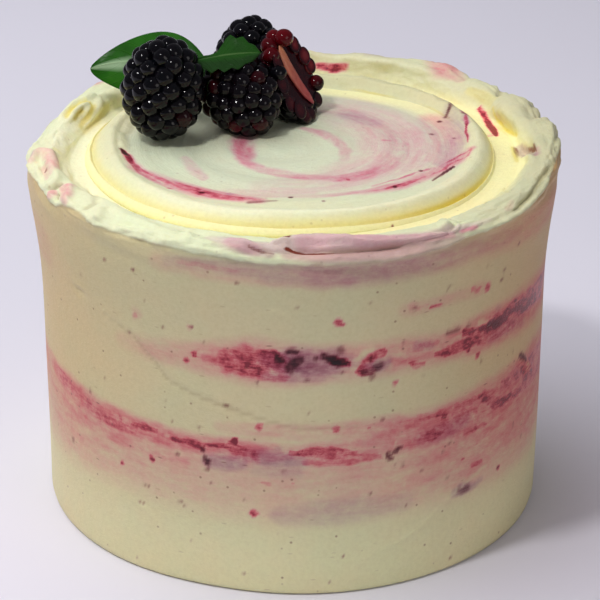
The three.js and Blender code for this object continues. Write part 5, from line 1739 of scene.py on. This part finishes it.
def leaf_surface(leaf, t, w):
    """Points and unit normals of a leaf at t along it and w across it."""
    base, tip = np.array(leaf["base"]), np.array(leaf["tip"])
    along = tip - base
    up = np.array(leaf["up"], float)
    down = -np.array(leaf["down"], float)
    up /= np.linalg.norm(up)
    down /= np.linalg.norm(down)
    side = np.where((w < 0)[..., None], down, up)
    face = np.cross(np.broadcast_to(along, side.shape), side)
    face /= np.linalg.norm(face, axis=-1, keepdims=True)
    p = base + along * t[..., None]
    p = p + np.array(leaf["bow"]) * (4 * t * (1 - t))[..., None]
    shape = np.clip(np.sin(math.pi * t ** 0.85), 0, 1) ** 0.7
    half = np.where(w < 0, leaf["wide"][1], leaf["wide"][0]) * shape
    if leaf["flap"]:
        grow = mix(0.25, 1, smooth((t - leaf["flap"]) / 0.15))
        half = np.where(w > 0, half * grow, half)
    if leaf["teeth"]:
        bite = np.abs((t * leaf["teeth"]) % 1 - 0.5) * 2
        half = half * (1 - 0.22 * bite * np.abs(w))
    p = p + side * (w * half)[..., None]
    lift = leaf["cup"] * (w * w - 0.3) * shape
    lift = lift + 0.5 * np.sin(t * 9 + w * 2) * np.abs(w)
    return p + face * lift[..., None], face


LEAF_GREENS = [(0.3, linear(26, 78, 10)), (0.6, linear(36, 98, 16)),
               (0.85, linear(52, 112, 24))]
LEAF_VEIN = linear(70, 112, 48)
LEAF_MIDRIB = linear(120, 158, 92)
LEAF_HIGHLIGHT = linear(176, 204, 164)
LEAF_SHADE = linear(26, 50, 22)


def leaf_look():
    """Green blade with veins and a midrib, with a painted pale highlight along the tip
    half of the glossy leaf, and darkened by painted shade.
    """
    look = Look("leaf_green", Roughness=0.3, Specular_IOR_Level=0.1)
    along = look.attribute("along")
    across = look.attribute("across")
    place = look.place()
    wide = look.math("ABSOLUTE", across)
    wavy = look.minus(look.times(along, 9.0), look.times(wide, 2.6))
    rib = look.math("ABSOLUTE", look.minus(look.math("FRACT", wavy), 0.5))
    vein = look.span(rib, 0.07, 0.0)
    mid = look.span(wide, 0.07, 0.02)
    colour = look.ramp(look.noise(place, 120, 4), LEAF_GREENS)
    colour = look.mix(look.times(vein, 0.16), colour, LEAF_VEIN)
    colour = look.mix(look.times(mid, 0.6), colour, LEAF_MIDRIB)
    # Painted highlight: a pale streak along the tip half, just off the midrib, on the
    # glossy leaf only.
    off_middle = look.math("ABSOLUTE", look.plus(across, 0.1))
    highlight_mask = look.times(look.span(off_middle, 0.34, 0.08),
                       look.span(along, 0.5, 0.75))
    highlight_mask = look.times(highlight_mask, look.attribute("painted_highlight"))
    colour = look.mix(look.times(highlight_mask, 0.75), colour, LEAF_HIGHLIGHT)
    # Painted shade, by each leaf's own amount.
    colour = look.mix(look.attribute("deep"), colour, LEAF_SHADE)
    look.to("Base Color", colour)
    relief = look.plus(look.most(vein, mid),
                       look.times(look.noise(place, 700, 3), 0.5))
    look.bump_by(relief, 0.0002, 0.6)
    return look.material


def build_leaf(name, leaf):
    """A thin closed blade, with its place along and across kept for the veins. The toothed
    leaf lies in painted shade and has no painted highlight; the other is in lighter
    painted shade that deepens towards its base."""
    t1 = np.linspace(0, 1, LEAF_ROWS + 1)[1:-1]
    w1 = np.linspace(-1, 1, LEAF_COLUMNS + 1)
    t, w = np.meshgrid(t1, w1, indexing="ij")
    p, face = leaf_surface(leaf, t, w)
    half = LEAF_THICK / 2 * np.sqrt(1 - 0.85 * np.abs(w) ** 4)[..., None]
    upper, lower = p + face * half, p - face * half
    rings = np.concatenate([upper, lower[:, ::-1]], 1)[:, ::-1]
    columns = rings.shape[1]
    stem, tip = (leaf_surface(leaf, np.full(1, end), np.zeros(1))[0][0]
                 for end in (0.0, 1.0))
    verts, faces = closed_rings(rings.reshape(-1, 3), columns, stem, tip)
    obj = add_object(name + "_blade", verts, faces)
    along = np.repeat(t1, columns)
    across = np.tile(np.concatenate([w1, w1[::-1]])[::-1], len(t1))
    paint(obj, "along", np.append(along, [0, 1]))
    paint(obj, "across", np.append(across, [0, 0]))
    # Painted shade and painted highlight for each leaf.
    if leaf["teeth"]:
        deep, painted_highlight = 0.62 + 0.3 * smooth(-across * 2), 0.0
    else:
        deep, painted_highlight = 0.12 + 0.3 * smooth((0.5 - along) * 3), 1.0
    paint(obj, "deep", np.append(deep, [0.5, 0.5]))
    paint(obj, "painted_highlight", np.full(len(verts), painted_highlight))
    return obj


def build_leaves():
    green = leaf_look()
    for name, leaf in LEAVES.items():
        dress(build_leaf(name, leaf), name, green)


build_leaves()

# ---- Floor, lights and camera, in metres ----
FLOOR_HALF = 4.0
FLOOR_TINTS = [(0.3, (0.75, 0.735, 0.82, 1)), (0.7, (0.77, 0.755, 0.84, 1))]
WORLD_COLOUR = (0.86, 0.84, 0.92, 1)
WORLD_STRENGTH = 0.19
# The broad top light isn't mirrored in the wet berries.
LIGHTS = {
    "key": dict(at=(-0.45, -0.45, 1.15), aim=(0, 0, 0.1), size=0.13,
                power=5.0, colour=(1.0, 0.985, 0.98), shine=True),
    "top_soft": dict(at=(-0.5, 0.15, 1.05), aim=(0, 0, 0.1), size=1.5,
                     power=11.3, colour=(0.98, 0.98, 1.0), shine=False),
    "side_soft": dict(at=(0.75, -0.9, 0.55), aim=(0, 0, 0.06), size=0.7,
                      power=2.3, colour=(1.0, 0.95, 0.92), shine=True),
}
CAMERA_AT = (0.002, -0.88744, 0.47064)
CAMERA_PITCH = math.radians(24.614)
CAMERA_ROLL = math.radians(0.473)
CAMERA_LENS = 180
CAMERA_SENSOR = 36


def build_floor():
    mesh = bpy.data.meshes.new("floor")
    s = FLOOR_HALF
    mesh.from_pydata([(-s, -s, 0), (s, -s, 0), (s, s, 0), (-s, s, 0)], [],
                     [(0, 1, 2, 3)])
    floor = bpy.data.objects.new("floor", mesh)
    bpy.context.scene.collection.objects.link(floor)
    look = Look("floor_card", Roughness=0.75)
    look.to("Base Color", look.ramp(look.noise(look.place(), 3, 3),
                                    FLOOR_TINTS))
    mesh.materials.append(look.material)


def build_world():
    world = bpy.data.worlds.new("studio")
    world.use_nodes = True
    back = world.node_tree.nodes["Background"]
    back.inputs["Color"].default_value = WORLD_COLOUR
    back.inputs["Strength"].default_value = WORLD_STRENGTH
    bpy.context.scene.world = world
    bpy.context.scene.view_settings.view_transform = "Standard"


def area_light(name, at, aim, size, power, colour, shine):
    light = bpy.data.lights.new(name, "AREA")
    light.shape = "DISK"
    light.size = size
    light.energy = power
    light.color = colour
    obj = bpy.data.objects.new(name, light)
    obj.location = at
    look_at = Vector(aim) - Vector(at)
    obj.rotation_euler = look_at.to_track_quat("-Z", "Y").to_euler()
    obj.visible_glossy = shine
    bpy.context.scene.collection.objects.link(obj)


def build_camera():
    forward = Vector((0, math.cos(CAMERA_PITCH), -math.sin(CAMERA_PITCH)))
    level = Vector((1, 0, 0))
    upright = level.cross(forward)
    cos, sin = math.cos(CAMERA_ROLL), math.sin(CAMERA_ROLL)
    right = level * cos + upright * sin
    up = upright * cos - level * sin
    turned = Matrix((right, up, -forward)).transposed().to_4x4()
    camera_data = bpy.data.cameras.new("camera")
    camera_data.lens = CAMERA_LENS
    camera_data.sensor_width = CAMERA_SENSOR
    camera = bpy.data.objects.new("camera", camera_data)
    camera.matrix_world = Matrix.Translation(CAMERA_AT) @ turned
    bpy.context.scene.collection.objects.link(camera)
    bpy.context.scene.camera = camera


build_floor()
build_world()
for light_name, light_settings in LIGHTS.items():
    area_light(light_name, **light_settings)
build_camera()
